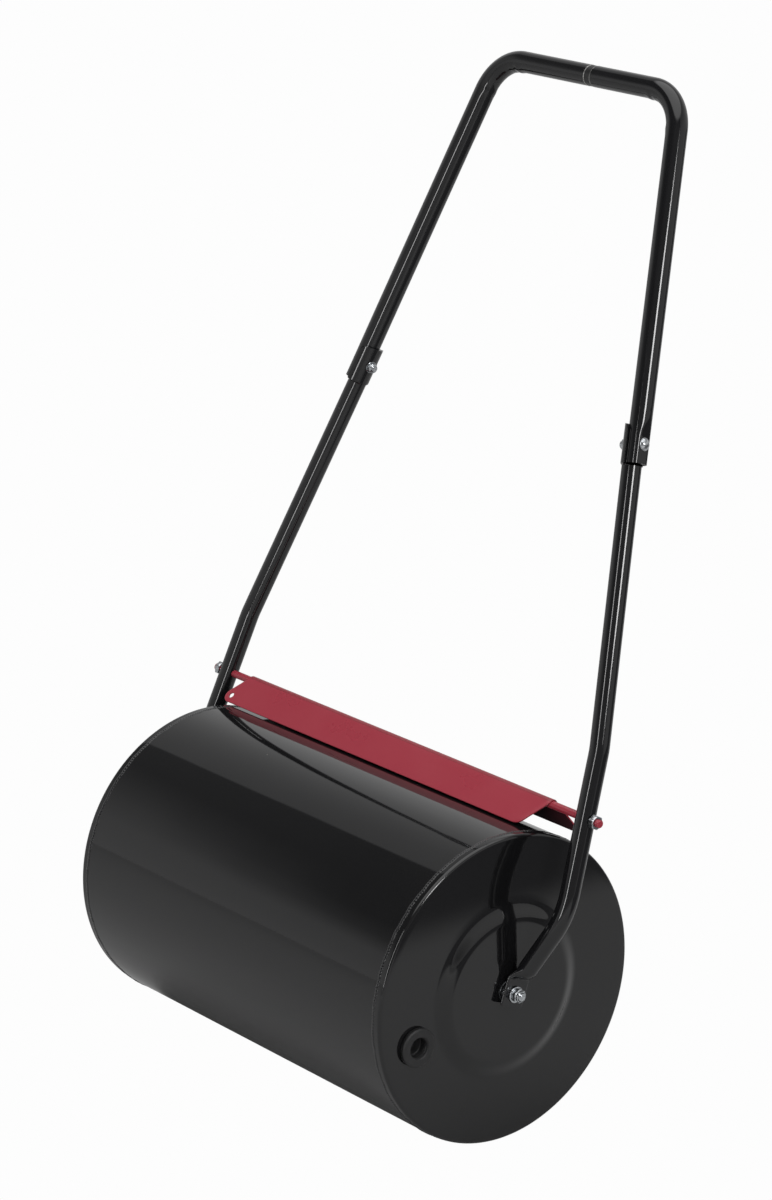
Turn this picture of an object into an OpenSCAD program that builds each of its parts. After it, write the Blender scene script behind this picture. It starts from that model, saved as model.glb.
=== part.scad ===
// Lawn roller: a steel drum that is filled with water, on a bolted tube handle, with a folded
// scraper bar hung between the handle's legs. Millimetres.
// +X runs along the drum's axis towards the end with the filler, -Y is the way it is pushed and
// +Z is up. The origin is on the ground, at the middle of the line that the drum rests on.

/* [Drum] */
// Outer diameter of the drum
drum_d = 320; // [280:5:400]
// Width of the drum over its flat ends
drum_w = 500; // [400:10:650]
// Thickness of the drum's sheet steel
sheet_t = 1.5; // [1:0.1:2.5]
// Width of the end cap's skirt, from the weld to the flat end
skirt_w = 10; // [8:1:20]
// Outer radius of the bend between the end cap's skirt and its face
cap_bend_r = 5; // [3:0.5:7]
// Outer diameter of the pressed step in the end cap
step_outer_d = 182; // [150:2:200]
// Inner diameter of the pressed step, where the raised middle begins
step_inner_d = 148; // [120:2:148]
// Height of the raised middle of the end cap
step_h = 6; // [3:0.5:9]

/* [Axle] */
// Thread diameter of the axle bolts
axle_d = 8; // [8:1:12]
// Length of the spacer between the end cap and the handle's leg
spacer_len = 4.6; // [3:0.2:10]
// Outer diameter of that spacer
spacer_d = 24; // [18:1:30]
// Diameter of the reinforcing plate inside the end cap
hub_plate_d = 120; // [80:5:120]
// Thickness of the reinforcing plate
hub_plate_t = 3; // [2:0.5:5]
// Running clearance of the bush on the axle bolt, on the radius
axle_clear = 0.05; // [0.02:0.01:0.1]
// End float between the bush and the washers, each side
end_float = 0.2; // [0.1:0.05:0.5]

/* [Filler] */
// Distance from the axle to the middle of the filler
filler_r = 118; // [110:1:122]
// Direction of the filler round the axle, from +Y towards +Z
filler_angle = -165.8; // [-180:0.1:180]
// Diameter of the plug's flange
plug_d = 40; // [36:1:44]
// Thickness of the plug's flange outside the end cap
plug_flange_t = 6; // [4:0.5:8]
// Diameter of the hole in the end cap that takes the plug
filler_hole_d = 31; // [28:1:32]
// Diameter of the recess in the plug's face, a grip for the finger
plug_recess_d = 22.5; // [18:0.5:24]
// Depth of the plug's recess
plug_recess_depth = 12; // [8:1:16]
// Length of the plug inside the drum
plug_stem_len = 14; // [10:1:20]
// Gap between the plug and the hole's edge, on the radius
plug_clear = 0.1; // [0.05:0.05:0.3]

/* [Handle] */
// Lean of the handle back from upright
handle_lean = 20.6; // [5:0.1:45]
// Outer diameter of the lower tubes
lower_d = 20; // [18:0.5:22]
// Outer diameter of the upper tubes
upper_d = 22; // [20:0.5:25]
// Wall of both tubes
tube_wall = 1.5; // [1:0.1:2]
// Distance from the axle to the lower bend, along the handle
flare_s = 91; // [85:1:100]
// Distance from the drum's end out to the tube's middle at the lower bend
flare_x = 50.5; // [46:0.5:60]
// Distance from the axle to the upper bend of the lower tube
knee_s = 255.5; // [240:1:300]
// Distance from the drum's end out to the tube's middle at the upper bend
knee_x = 32; // [28:1:40]
// Middle radius of both bends in the lower tube
lower_bend_r = 85; // [70:5:100]
// Distance from the axle to the middle joint's bolt
joint_s = 551; // [500:1:650]
// Distance between the two upper tubes at the middle joint
joint_span = 432.4; // [400:1:460]
// Distance from the axle to the middle of the hand grip bar
grip_s = 895.5; // [800:1:1000]
// Width of the handle at the top, between the corners of its middle line
grip_w = 275.4; // [240:1:360]
// Middle radius of the two top corners
corner_r = 48; // [40:1:60]

/* [Joints in the handle] */
// Distance from the joint's bolt to the end of each tube
lap = 19.5; // [16:0.5:30]
// Thickness of the lower tube's end, pressed to hug the upper tube
cup_t = 4; // [3.2:0.2:5]
// Gap between the pressed end and the upper tube, on the radius
cup_clear = 0.1; // [0.05:0.05:0.3]
// Distance from the upper tube's middle to the cup's two edges, inward
cup_edge = 3.5; // [2:0.5:6]
// Length of the stretch where the lower tube turns from round to pressed
press_len = 4; // [3:1:40]
// Thread diameter of the joint's bolts
bolt_d = 6; // [5:1:8]
// Clearance of the bolt in its holes, on the radius
bolt_clear = 0.25; // [0.1:0.05:0.5]
// Thickness of the flattened tab on the axle
tab_t = 3.2; // [2.4:0.2:4]
// Width of the flattened tab
tab_w = 29; // [26:1:31]
// Length of the tab below the axle
tab_end = 13; // [11:1:18]
// Distance from the axle up to where the flattened tab starts to swell
tab_top = 14; // [13:1:20]
// Length of the stretch where the tab swells to the round tube
tab_swell = 12; // [8:1:20]
// Length of the connector's collar between the two halves of the hand grip
collar_len = 8; // [4:1:16]
// Length of the connector inside each half
spigot_len = 45; // [20:1:60]
// Offset of the collar's middle from the middle of the grip bar
collar_x = 8.5; // [-20:0.5:20]
// Gap between the connector and the tube's bore, on the radius
spigot_clear = 0.1; // [0.05:0.05:0.3]

/* [Scraper] */
// Diameter of the scraper's rod
rod_d = 8; // [6:1:10]
// Gap between the drum and the middle of the rod
rod_gap = 28.2; // [26:0.2:40]
// Clearance of the rod in the lower tubes, on the radius
rod_clear = 0.08; // [0.02:0.01:0.1]
// Length of the rod beyond the nuts
rod_tip = 4.5; // [2:0.5:10]
// Thickness of the scraper's sheet
plate_t = 1.5; // [1:0.1:2]
// Depth of each flange, from the rod to its free edge
flange_len = 34.5; // [24:0.5:35]
// Slope of the front flange, from straight down towards the front
front_slope = 50; // [46:1:60]
// Slope of the rear flange, from straight down towards the back
rear_slope = 26; // [20:1:40]
// Distance from each end of the drum in to the end of the sheet's fold
fold_inset = 5; // [0:1:20]
// Distance of the fold's middle from the roller's middle
fold_x = -3; // [-6:0.5:6]
// Sideways run of the sheet's slanting ends, for each unit of flange depth
end_slant = 0.46; // [0:0.02:0.6]
// Radius of the rounded ear
ear_r = 8.5; // [6:0.5:10]
// Diameter of the hole in the front ear
ear_hole_d = 6.5; // [4:0.5:9]
// Radius of the sheet's other corners
plate_corner_r = 12; // [6:1:16]

/* [Hidden] */
$fn = 96;
eps = 0.01;

// Hexagon sizes of a nut or bolt head, across the flats, for a thread diameter
function hex_af(d) = d < 6 ? 8 : d < 8 ? 10 : d < 10 ? 13 : d < 12 ? 16 : 18;
function hex_corner(d) = hex_af(d) / cos(30);
function nut_h(d) = 0.8 * d;

drum_r = drum_d / 2;
cap_x = drum_w / 2;                       // flat face of the end cap
crown_x = cap_x + step_h;                 // face of its raised middle
shell_x = cap_x - skirt_w;                // weld between skirt and shell
tab_in = crown_x + spacer_len + 2 * end_float;
tab_x = tab_in + tab_t / 2;               // middle of the flattened tab
tab_out = tab_in + tab_t;
washer_t = 1.6;
washer_d = 2.1 * axle_d;
nut_x = tab_out + 2 * end_float + washer_t;
axle_nut_h = axle_d;
axle_tip = 1.5;                           // thread that shows past the nut
bush_wall = 1.2;

// Points of the tubes' middle lines in the handle's own plane: x along the drum's axis, y along
// the handle from the axle
flare_p = [cap_x + flare_x, flare_s];
knee_p = [cap_x + knee_x, knee_s];
joint_p = [joint_span / 2, joint_s];      // on the upper tube's middle line, at the bolt
corner_p = [grip_w / 2, grip_s];
upper_v = (corner_p - joint_p) / norm(corner_p - joint_p);
upper_n = [upper_v.y, -upper_v.x];        // square to the upper tube, outward
// The lower tube's inner edge runs on into the back of its pressed end
lower_p = joint_p - upper_n * (upper_d / 2 + cup_clear + cup_t - lower_d / 2);
tab_p = [tab_x + 5.4, tab_top + tab_swell / 2];
swell_p = tab_p + (flare_p - tab_p) / norm(flare_p - tab_p) * tab_swell / 2;
upper_end = joint_p - upper_v * lap;
cup_end = joint_p + upper_v * lap;
press_p = lower_p - upper_v * (lap + press_len);
upper_ang = atan2(upper_v.y, upper_v.x);
bolt_out = upper_d / 2 - 2.5;             // seat of the joint bolt's head
bolt_in = upper_d / 2 + cup_clear + cup_t;

rod_s = drum_r + rod_gap;
rod_y = rod_s * sin(handle_lean);
rod_z = rod_s * cos(handle_lean);
// The lower tube's middle line where the rod crosses it, and the tube's outer side there
rod_t = (rod_s - flare_p.y) / (knee_p.y - flare_p.y);
rod_tube_x = flare_p.x + (knee_p.x - flare_p.x) * rod_t;
// The nut clears the tube, which leans outward below it, by 0.3 at its lowest corner
tube_lean = atan2(flare_p.x - knee_p.x, knee_p.y - flare_p.y);
rod_nut_x = rod_tube_x + lower_d / 2 / cos(tube_lean) + hex_corner(rod_d) / 2 * tan(tube_lean) + 0.3;
rod_nut_h = nut_h(rod_d);
fold_len = drum_w - 2 * fold_inset;
filler_y = filler_r * cos(filler_angle);
filler_z = filler_r * sin(filler_angle);
socket_d = filler_hole_d + 12;
collar_r = collar_len / 2;

// ---- helpers ----

// Signed turn at point i of a path, and the straight length that its bend takes up
function heading(a, b) = atan2(b.y - a.y, b.x - a.x);
function turn(p, i) =
    let (t = heading(p[i], p[i + 1]) - heading(p[i - 1], p[i])) t > 180 ? t - 360 : t < -180 ? t + 360 : t;
function tangent(p, r, i) = i <= 0 || i >= len(p) - 1 ? 0 : r * tan(abs(turn(p, i)) / 2);

// A round tube of outer diameter d along a flat path of points, with every corner bent to middle
// radius r. A bend draws the wall in by thin, and its ends run on into the straights by run_on
module bent_tube(p, r, d, wall, thin = 0.05, run_on = 0.5) {
    last = len(p) - 2;
    for (i = [0:last]) {
        t0 = tangent(p, r, i);
        long = norm(p[i + 1] - p[i]) - t0 - tangent(p, r, i + 1);
        translate([p[i].x, p[i].y, 0]) rotate([0, 0, heading(p[i], p[i + 1])])
            translate([t0, 0, 0]) rotate([0, 90, 0]) difference() {
                cylinder(d = d, h = long);
                translate([0, 0, -1]) cylinder(d = d - 2 * wall, h = long + 2);
            }
    }
    more = run_on / r * 180 / PI;
    for (i = [1:1:last]) {
        a = heading(p[i - 1], p[i]);
        k = turn(p, i);
        side = k > 0 ? 1 : -1;
        back = tangent(p, r, i);
        start = [p[i].x - back * cos(a), p[i].y - back * sin(a)];
        translate([start.x - side * r * sin(a), start.y + side * r * cos(a), 0])
            rotate([0, 0, (k > 0 ? a - 90 : a + 90 + k) - more])
                rotate_extrude(angle = abs(k) + 2 * more) translate([r, 0]) difference() {
                    circle(d = d - 2 * thin);
                    circle(d = d - 2 * wall + 2 * thin);
                }
    }
}

// Puts the handle's plane in place: its x stays, its y leans back from the axle
module in_handle() {
    translate([0, 0, drum_r]) rotate([90 - handle_lean, 0, 0]) children();
}

// Puts a piece that is drawn about the axle's line, along z, on the drum's right or left end
module on_axle(side) {
    translate([0, 0, drum_r]) rotate([0, side * 90, 0]) children();
}

// The right-hand piece as drawn, or its mirror image on the left
module on_side(side) {
    if (side > 0) children();
    else mirror([1, 0, 0]) children();
}

module hex_nut(d, h, af) {
    difference() {
        intersection() {
            cylinder(d = af / cos(30), h = h, $fn = 6);
            // The corners are turned off to a cone on both faces
            rotate_extrude() polygon([
                [0, 0], [af / 2 * 0.95, 0], [af / cos(30) / 2, h * 0.15],
                [af / cos(30) / 2, h * 0.85], [af / 2 * 0.95, h], [0, h]
            ]);
        }
        translate([0, 0, -1]) cylinder(d = d, h = h + 2);
    }
}

// ---- handle ----

module lower_tube(side) {
    color("#1c1c1e") on_side(side) difference() {
        in_handle() difference() {
            union() {
                bent_tube([swell_p, flare_p, knee_p, press_p], lower_bend_r, lower_d, tube_wall);
                crushed_end();
                pressed_end();
            }
            // Holes for the bush and the joint's bolt
            translate([tab_in - 1, 0, 0]) rotate([0, 90, 0])
                cylinder(d = axle_d + 2 * (axle_clear + bush_wall), h = tab_t + 2);
            at_joint() translate([0, 0, -2 * upper_d])
                cylinder(d = bolt_d + 2 * bolt_clear, h = 2 * upper_d);
        }
        // Hole for the scraper's rod
        translate([rod_tube_x - lower_d, rod_y, drum_r + rod_z]) rotate([0, 90, 0])
            cylinder(d = rod_d + 2 * rod_clear, h = 2 * lower_d);
    }
}

// The lower tube's bottom: crushed flat on the axle, swelling to the round tube above it
module crushed_end() {
    translate([tab_in, -tab_end, -tab_w / 2]) cube([tab_t, tab_end + tab_top, tab_w]);
    hull() {
        translate([tab_in + 0.05, tab_top - 1, -tab_w / 2 + 0.05]) cube([tab_t - 0.1, 1, tab_w - 0.1]);
        translate([swell_p.x, swell_p.y, 0]) rotate([0, 0, heading(swell_p, flare_p)])
            rotate([0, 90, 0]) cylinder(d = lower_d - 0.2, h = 1, $fn = 32);
    }
}

// The lower tube's top: pressed to a cup that hugs the inner side of the upper tube's end
module pressed_end() {
    hull() {
        translate([press_p.x, press_p.y, 0]) rotate([0, 0, heading(knee_p, press_p)])
            rotate([0, 90, 0]) translate([0, 0, -1]) cylinder(d = lower_d - 0.2, h = 1, $fn = 32);
        on_upper() translate([0, 0, -lap - 2]) linear_extrude(1) cup_outline(0.1, $fn = 32);
    }
    on_upper() difference() {
        translate([0, 0, -lap - 2]) linear_extrude(2 * lap + 2) cup_outline(0);
        translate([0, 0, -lap - 0.5]) cylinder(r = upper_d / 2 + cup_clear, h = 2 * lap + 2);
    }
}

// Half-moon behind the upper tube, drawn across it with y inward, shrunk by a little on request
module cup_outline(less) {
    r = upper_d / 2 + cup_clear + cup_t - less;
    intersection() {
        circle(r = r);
        translate([-r, cup_edge + less]) square([2 * r, r]);
    }
}

// A frame on the joint's bolt: z points up along the upper tube, y inward
module on_upper() {
    translate([joint_p.x, joint_p.y, 0]) rotate([0, 0, upper_ang]) rotate([0, 90, 0]) children();
}

module handle_half(side) {
    bar_end = side * collar_x + collar_r;
    color("#1c1c1e") on_side(side) in_handle() difference() {
        union() {
            bent_tube([upper_end, corner_p, [bar_end, grip_s]], corner_r, upper_d, tube_wall);
            // Pressed seat for the bolt's head
            at_joint() intersection() {
                translate([0, 0, bolt_out - tube_wall])
                    cylinder(d = seat_d() + 2 * tube_wall, h = upper_d);
                rotate([0, 90, 0]) cylinder(d = upper_d - 0.1, h = 4 * seat_d(), center = true);
            }
        }
        at_joint() translate([0, 0, bolt_out]) cylinder(d = seat_d(), h = upper_d);
        at_joint() translate([0, 0, -upper_d]) cylinder(d = bolt_d + 2 * bolt_clear, h = 2 * upper_d);
    }
}

function seat_d() = 2.5 * bolt_d;

// A frame on the joint's bolt: z points outward along the bolt, x up the upper tube
module at_joint() {
    translate([joint_p.x, joint_p.y, 0]) rotate([0, 0, upper_ang - 90]) rotate([0, 90, 0]) rotate([0, 0, 90])
        children();
}

module handle_connector() {
    bore_r = upper_d / 2 - tube_wall - spigot_clear;
    color("#161618") in_handle() translate([collar_x, grip_s, 0]) rotate([0, 90, 0]) difference() {
        union() {
            cylinder(r = bore_r, h = 2 * spigot_len + collar_len, center = true);
            cylinder(d = upper_d - 0.4, h = collar_len, center = true);
        }
        cylinder(r = bore_r - 2, h = 2 * spigot_len + collar_len + 2, center = true);
    }
}

module joint_bolt(side) {
    head_h = 0.55 * bolt_d;
    color("#c9cbcd") on_side(side) in_handle() at_joint() {
        translate([0, 0, bolt_out]) {
            cylinder(d = 2.2 * bolt_d, h = 1);
            rotate_extrude() intersection() {
                translate([0, 1 + head_h - 1.2 * bolt_d]) circle(r = 1.2 * bolt_d);
                square([bolt_d, 1 + head_h]);
            }
        }
        translate([0, 0, -bolt_in - nut_h(bolt_d) - 1.5])
            cylinder(d = bolt_d, h = bolt_in + nut_h(bolt_d) + 1.5 + bolt_out);
    }
}

module joint_nut(side) {
    color("#c9cbcd") on_side(side) in_handle() at_joint()
        translate([0, 0, -bolt_in - nut_h(bolt_d)]) hex_nut(bolt_d, nut_h(bolt_d), hex_af(bolt_d));
}

module axle_bush(side) {
    color("#e4e2da") on_axle(side) translate([0, 0, tab_in]) difference() {
        cylinder(d = axle_d + 2 * (axle_clear + bush_wall), h = tab_t);
        translate([0, 0, -1]) cylinder(d = axle_d + 2 * axle_clear, h = tab_t + 2);
    }
}

// ---- drum ----

module drum_shell() {
    color("#161617") translate([-shell_x, 0, drum_r]) rotate([0, 90, 0]) difference() {
        cylinder(d = drum_d, h = 2 * shell_x, $fn = 180);
        translate([0, 0, -1]) cylinder(d = drum_d - 2 * sheet_t, h = 2 * shell_x + 2, $fn = 180);
    }
}

// Half section of the end cap's sheet at a depth t under its outer face, from the weld to the hole
function cap_line(t) = concat(
    [[drum_r - t, shell_x]],
    [for (a = [0:15:90]) [
        drum_r - cap_bend_r + (cap_bend_r - t) * cos(a), cap_x - cap_bend_r + (cap_bend_r - t) * sin(a)
    ]],
    [[step_outer_d / 2, cap_x - t], [step_inner_d / 2, crown_x - t], [axle_d / 2, crown_x - t]]
);
function flip(v) = [for (i = [len(v) - 1:-1:0]) v[i]];

module end_cap(side) {
    color("#161617") difference() {
        on_axle(side) rotate_extrude($fn = 180) polygon(concat(cap_line(0), flip(cap_line(sheet_t))));
        if (side > 0) translate([cap_x - 10, filler_y, drum_r + filler_z]) rotate([0, 90, 0])
            cylinder(d = filler_hole_d, h = 20);
    }
}

// Ring welded inside the end cap that gives the plug a long seat
module filler_socket() {
    color("#161617") translate([cap_x - sheet_t - 8, filler_y, drum_r + filler_z]) rotate([0, 90, 0])
        difference() {
            cylinder(d = socket_d, h = 8);
            translate([0, 0, -1]) cylinder(d = filler_hole_d, h = 10);
        }
}

module hub_plate(side) {
    color("#3a3a3c") on_axle(side) translate([0, 0, crown_x - sheet_t - hub_plate_t]) difference() {
        cylinder(d = hub_plate_d, h = hub_plate_t);
        translate([0, 0, -1]) cylinder(d = axle_d, h = hub_plate_t + 2);
    }
}

module axle_bolt(side) {
    head_h = 0.65 * axle_d;
    base = crown_x - sheet_t - hub_plate_t;
    color("#c9cbcd") on_axle(side) {
        translate([0, 0, base - head_h]) hex_nut(0, head_h, hex_af(axle_d));
        translate([0, 0, base - 1]) cylinder(d = axle_d, h = nut_x + axle_nut_h + axle_tip - base + 1);
    }
}

module axle_spacer(side) {
    color("#c9cbcd") on_axle(side) translate([0, 0, crown_x]) difference() {
        cylinder(d = spacer_d, h = spacer_len);
        translate([0, 0, -1]) cylinder(d = axle_d, h = spacer_len + 2);
    }
}

module axle_washer(side) {
    color("#c9cbcd") on_axle(side) translate([0, 0, nut_x - washer_t]) difference() {
        cylinder(d = washer_d, h = washer_t);
        translate([0, 0, -1]) cylinder(d = axle_d, h = washer_t + 2);
    }
}

// Lock nut: hexagon with a round collar that holds its plastic ring
module axle_nut(side) {
    hex_h = 0.72 * axle_nut_h;
    color("#c9cbcd") on_axle(side) translate([0, 0, nut_x]) {
        hex_nut(axle_d, hex_h, hex_af(axle_d));
        translate([0, 0, hex_h - 0.3]) difference() {
            cylinder(d = 0.9 * hex_af(axle_d), h = axle_nut_h - hex_h + 0.3);
            translate([0, 0, -1]) cylinder(d = axle_d, h = axle_nut_h);
        }
    }
}

// ---- filler plug ----

module filler_plug() {
    stem_r = filler_hole_d / 2 - plug_clear;
    color("#0f0f10") translate([0, filler_y, drum_r + filler_z]) rotate([0, 90, 0]) difference() {
        rotate_extrude() polygon([
            [0, cap_x - plug_stem_len], [stem_r - 2, cap_x - plug_stem_len],
            [stem_r, cap_x - plug_stem_len + 3], [stem_r, cap_x + 0.1],
            [plug_d / 2, cap_x + 0.1], [plug_d / 2, cap_x + plug_flange_t - 2],
            [plug_d / 2 - 0.6, cap_x + plug_flange_t - 0.6], [plug_d / 2 - 2, cap_x + plug_flange_t],
            [0, cap_x + plug_flange_t]
        ]);
        translate([0, 0, cap_x + plug_flange_t - plug_recess_depth])
            cylinder(d = plug_recess_d, h = plug_recess_depth + 1);
    }
}

// ---- scraper ----

module at_rod() {
    translate([0, rod_y, drum_r + rod_z]) children();
}

module scraper_rod() {
    half = rod_nut_x + rod_nut_h + rod_tip;
    color("#a8323c") at_rod() rotate([0, 90, 0]) cylinder(d = rod_d, h = 2 * half, center = true);
}

// The scraper's sheet before it is cut out, as a bent strip: wrapped over the rod from the back
// flange to the front one, and long enough for both ears
module bent_sheet() {
    bend_in = rod_d / 2 + 0.05;
    bend_out = bend_in + plate_t;
    from = rear_slope;
    to = 180 - front_slope;
    back = [sin(rear_slope), -cos(rear_slope)] * flange_len;
    front = [-sin(front_slope), -cos(front_slope)] * flange_len;
    at_rod() rotate([90, 0, 90]) linear_extrude(2 * fold_len, center = true) polygon(concat(
        [bend_out * [cos(from), sin(from)] + back],
        [for (k = [0:12]) let (a = from + (to - from) * k / 12) bend_out * [cos(a), sin(a)]],
        [bend_out * [cos(to), sin(to)] + front, bend_in * [cos(to), sin(to)] + front],
        [for (k = [12:-1:0]) let (a = from + (to - from) * k / 12) bend_in * [cos(a), sin(a)]],
        [bend_in * [cos(from), sin(from)] + back]
    ));
}

// What is cut away round one flange, drawn flat: x along the rod, y down from the fold. Its ends
// slant, one corner is drawn out to an ear and the other is round
module flange_waste() {
    half = fold_len / 2 + 0.05;
    run = end_slant * flange_len;
    ear = [-half - run + ear_r + 1, flange_len - ear_r];
    difference() {
        translate([-1.5 * fold_len, -0.3]) square([3 * fold_len, flange_len + 5]);
        translate([-half, -1]) square([2 * half, 1.5]);
        hull() {
            translate([-half, 0]) square([2 * half, 0.5]);
            translate(ear) circle(r = ear_r);
            translate([half - run - plate_corner_r * 0.9, flange_len - plate_corner_r])
                circle(r = plate_corner_r);
        }
    }
}

// What is cut away past one end of the fold: the wedge between the two flanges' tops
module fold_waste(side) {
    reach = rod_d + 2 * plate_t;
    from = rear_slope - 6;
    to = 180 - front_slope + 6;
    translate([side > 0 ? fold_len / 2 : -1.5 * fold_len, 0, 0])
        at_rod() rotate([90, 0, 90]) linear_extrude(fold_len) polygon(concat(
            [[0, 0]], [for (k = [0:4]) let (a = from + (to - from) * k / 4) reach * [cos(a), sin(a)]]
        ));
}

module scraper_plate() {
    over = 3;
    color("#a8323c") translate([fold_x, 0, 0]) difference() {
        bent_sheet();
        for (side = [-1, 1]) fold_waste(side);
        // The back flange is the front one turned round, so its ear is at the other end
        for (face = [-1, 1])
            at_rod() rotate([face > 0 ? rear_slope : -front_slope, 0, 0])
                mirror([0, face > 0 ? 0 : 1, 0]) translate([0, rod_d / 2 + plate_t + over, 0])
                    rotate([90, 0, 0]) linear_extrude(plate_t + 2 * over)
                        mirror([face > 0 ? 1 : 0, 0, 0]) mirror([0, 1, 0]) flange_waste();
        at_rod() rotate([-front_slope, 0, 0])
            translate([-fold_len / 2 - end_slant * flange_len + ear_r + 0.95, 0, -(flange_len - ear_r)])
                rotate([90, 0, 0]) cylinder(d = ear_hole_d, h = 30, center = true);
    }
}

module scraper_nut(side) {
    color("#c9cbcd") at_rod() rotate([0, side * 90, 0]) translate([0, 0, rod_nut_x])
        hex_nut(rod_d, rod_nut_h, hex_af(rod_d));
}

lower_tube(-1);  // lower_tube_left
lower_tube(1);  // lower_tube_right
handle_half(-1);  // handle_left
handle_half(1);  // handle_right
handle_connector();
joint_bolt(-1);  // joint_bolt_left
joint_bolt(1);  // joint_bolt_right
joint_nut(-1);  // joint_nut_left
joint_nut(1);  // joint_nut_right
axle_bush(-1);  // axle_bush_left
axle_bush(1);  // axle_bush_right
drum_shell();
end_cap(-1);  // end_cap_left
end_cap(1);  // end_cap_right
filler_socket();
hub_plate(-1);  // hub_plate_left
hub_plate(1);  // hub_plate_right
axle_bolt(-1);  // axle_bolt_left
axle_bolt(1);  // axle_bolt_right
axle_spacer(-1);  // axle_spacer_left
axle_spacer(1);  // axle_spacer_right
axle_washer(-1);  // axle_washer_left
axle_washer(1);  // axle_washer_right
axle_nut(-1);  // axle_nut_left
axle_nut(1);  // axle_nut_right
filler_plug();
scraper_rod();
scraper_plate();
scraper_nut(-1);  // scraper_nut_left
scraper_nut(1);  // scraper_nut_right
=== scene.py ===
"""Lawn roller: a water-filled steel drum on a bolted tube handle, with a folded scraper bar.

Each class holds the sizes of one sub-assembly in millimetres and builds its surfaces as whole
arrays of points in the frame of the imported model: X along the axle, Y back to the person who
pushes, Z up, with the origin on the ground under the middle of the axle.
"""

from __future__ import annotations

import logging
import math
from dataclasses import dataclass, field
from enum import Enum

import bmesh
import bpy
import numpy as np
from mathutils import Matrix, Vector


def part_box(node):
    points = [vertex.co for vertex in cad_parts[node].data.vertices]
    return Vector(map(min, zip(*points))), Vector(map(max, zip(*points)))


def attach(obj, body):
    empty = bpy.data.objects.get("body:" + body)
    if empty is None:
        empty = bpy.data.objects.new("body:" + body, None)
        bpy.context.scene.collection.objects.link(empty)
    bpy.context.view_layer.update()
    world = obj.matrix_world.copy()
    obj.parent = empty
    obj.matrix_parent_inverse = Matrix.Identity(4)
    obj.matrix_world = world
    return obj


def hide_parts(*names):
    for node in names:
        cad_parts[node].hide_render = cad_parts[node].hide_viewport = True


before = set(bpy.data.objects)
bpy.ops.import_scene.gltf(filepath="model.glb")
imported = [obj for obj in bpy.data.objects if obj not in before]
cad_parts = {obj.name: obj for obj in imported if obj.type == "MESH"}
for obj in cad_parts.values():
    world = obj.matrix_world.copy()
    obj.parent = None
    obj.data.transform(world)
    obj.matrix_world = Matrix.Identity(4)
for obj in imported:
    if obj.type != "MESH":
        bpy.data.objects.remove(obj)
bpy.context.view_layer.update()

LOG = logging.getLogger("lawn_roller")
MM = 0.001
TAU = 2.0 * math.pi
SEAM = 2e-6
DUST = "#8a8780"
Array = np.ndarray


class Body(str, Enum):
    """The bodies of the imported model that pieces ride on."""

    FRAME = "frame"
    DRUM = "drum"
    PLUG = "plug"
    SCRAPER = "scraper"


class Slot(str, Enum):
    """The record's material slots."""

    TUBE = "tube_paint"
    DRUM = "drum_paint"
    RED = "red_paint"
    ZINC = "zinc"
    RUBBER = "plug_rubber"
    CONNECTOR = "connector_plastic"


class Side(Enum):
    """The two ends of the roller; the value is the sign of X there."""

    LEFT = -1
    RIGHT = 1

    @property
    def word(self) -> str:
        """The side's word in a node's name."""
        return self.name.lower()


# ---------------------------------------------------------------- surfaces


@dataclass
class Patch:
    """A grid of points in millimetres.

    Attributes:
        points: Array of shape (rows, columns, 3).
        ring: True where the last column joins on to the first.
        finish: Which of the piece's finishes the faces take.
    """

    points: Array
    ring: bool = True
    finish: int = 0

    def faces(self, first: int) -> Array:
        """Number the corners of the faces between neighbouring rows and columns.

        Args:
            first: Index of the patch's first point in the whole mesh.

        Returns:
            Array of shape (faces, 4).
        """
        rows, columns = self.points.shape[:2]
        wide = columns if self.ring else columns - 1
        row, column = np.meshgrid(np.arange(rows - 1), np.arange(wide), indexing="ij")
        beside = (column + 1) % columns
        corners = (row * columns + column, row * columns + beside,
                   (row + 1) * columns + beside, (row + 1) * columns + column)
        return first + np.stack(corners, axis=-1).reshape(-1, 4)


@dataclass(frozen=True)
class Axes:
    """A local frame: its rows of unit vectors and its origin, in millimetres."""

    origin: tuple[float, float, float]
    rows: tuple[tuple[float, float, float], ...] = ((1, 0, 0), (0, 1, 0), (0, 0, 1))

    def place(self, local: Array) -> Array:
        """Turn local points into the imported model's frame: origin plus local times the rows."""
        return np.asarray(self.origin, float) + local @ np.asarray(self.rows, float)


def smooth(value: Array | float) -> Array:
    """Ease from 0 to 1: three times the square less twice the cube, held outside 0 to 1."""
    value = np.clip(value, 0.0, 1.0)
    return value * value * (3.0 - 2.0 * value)


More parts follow.
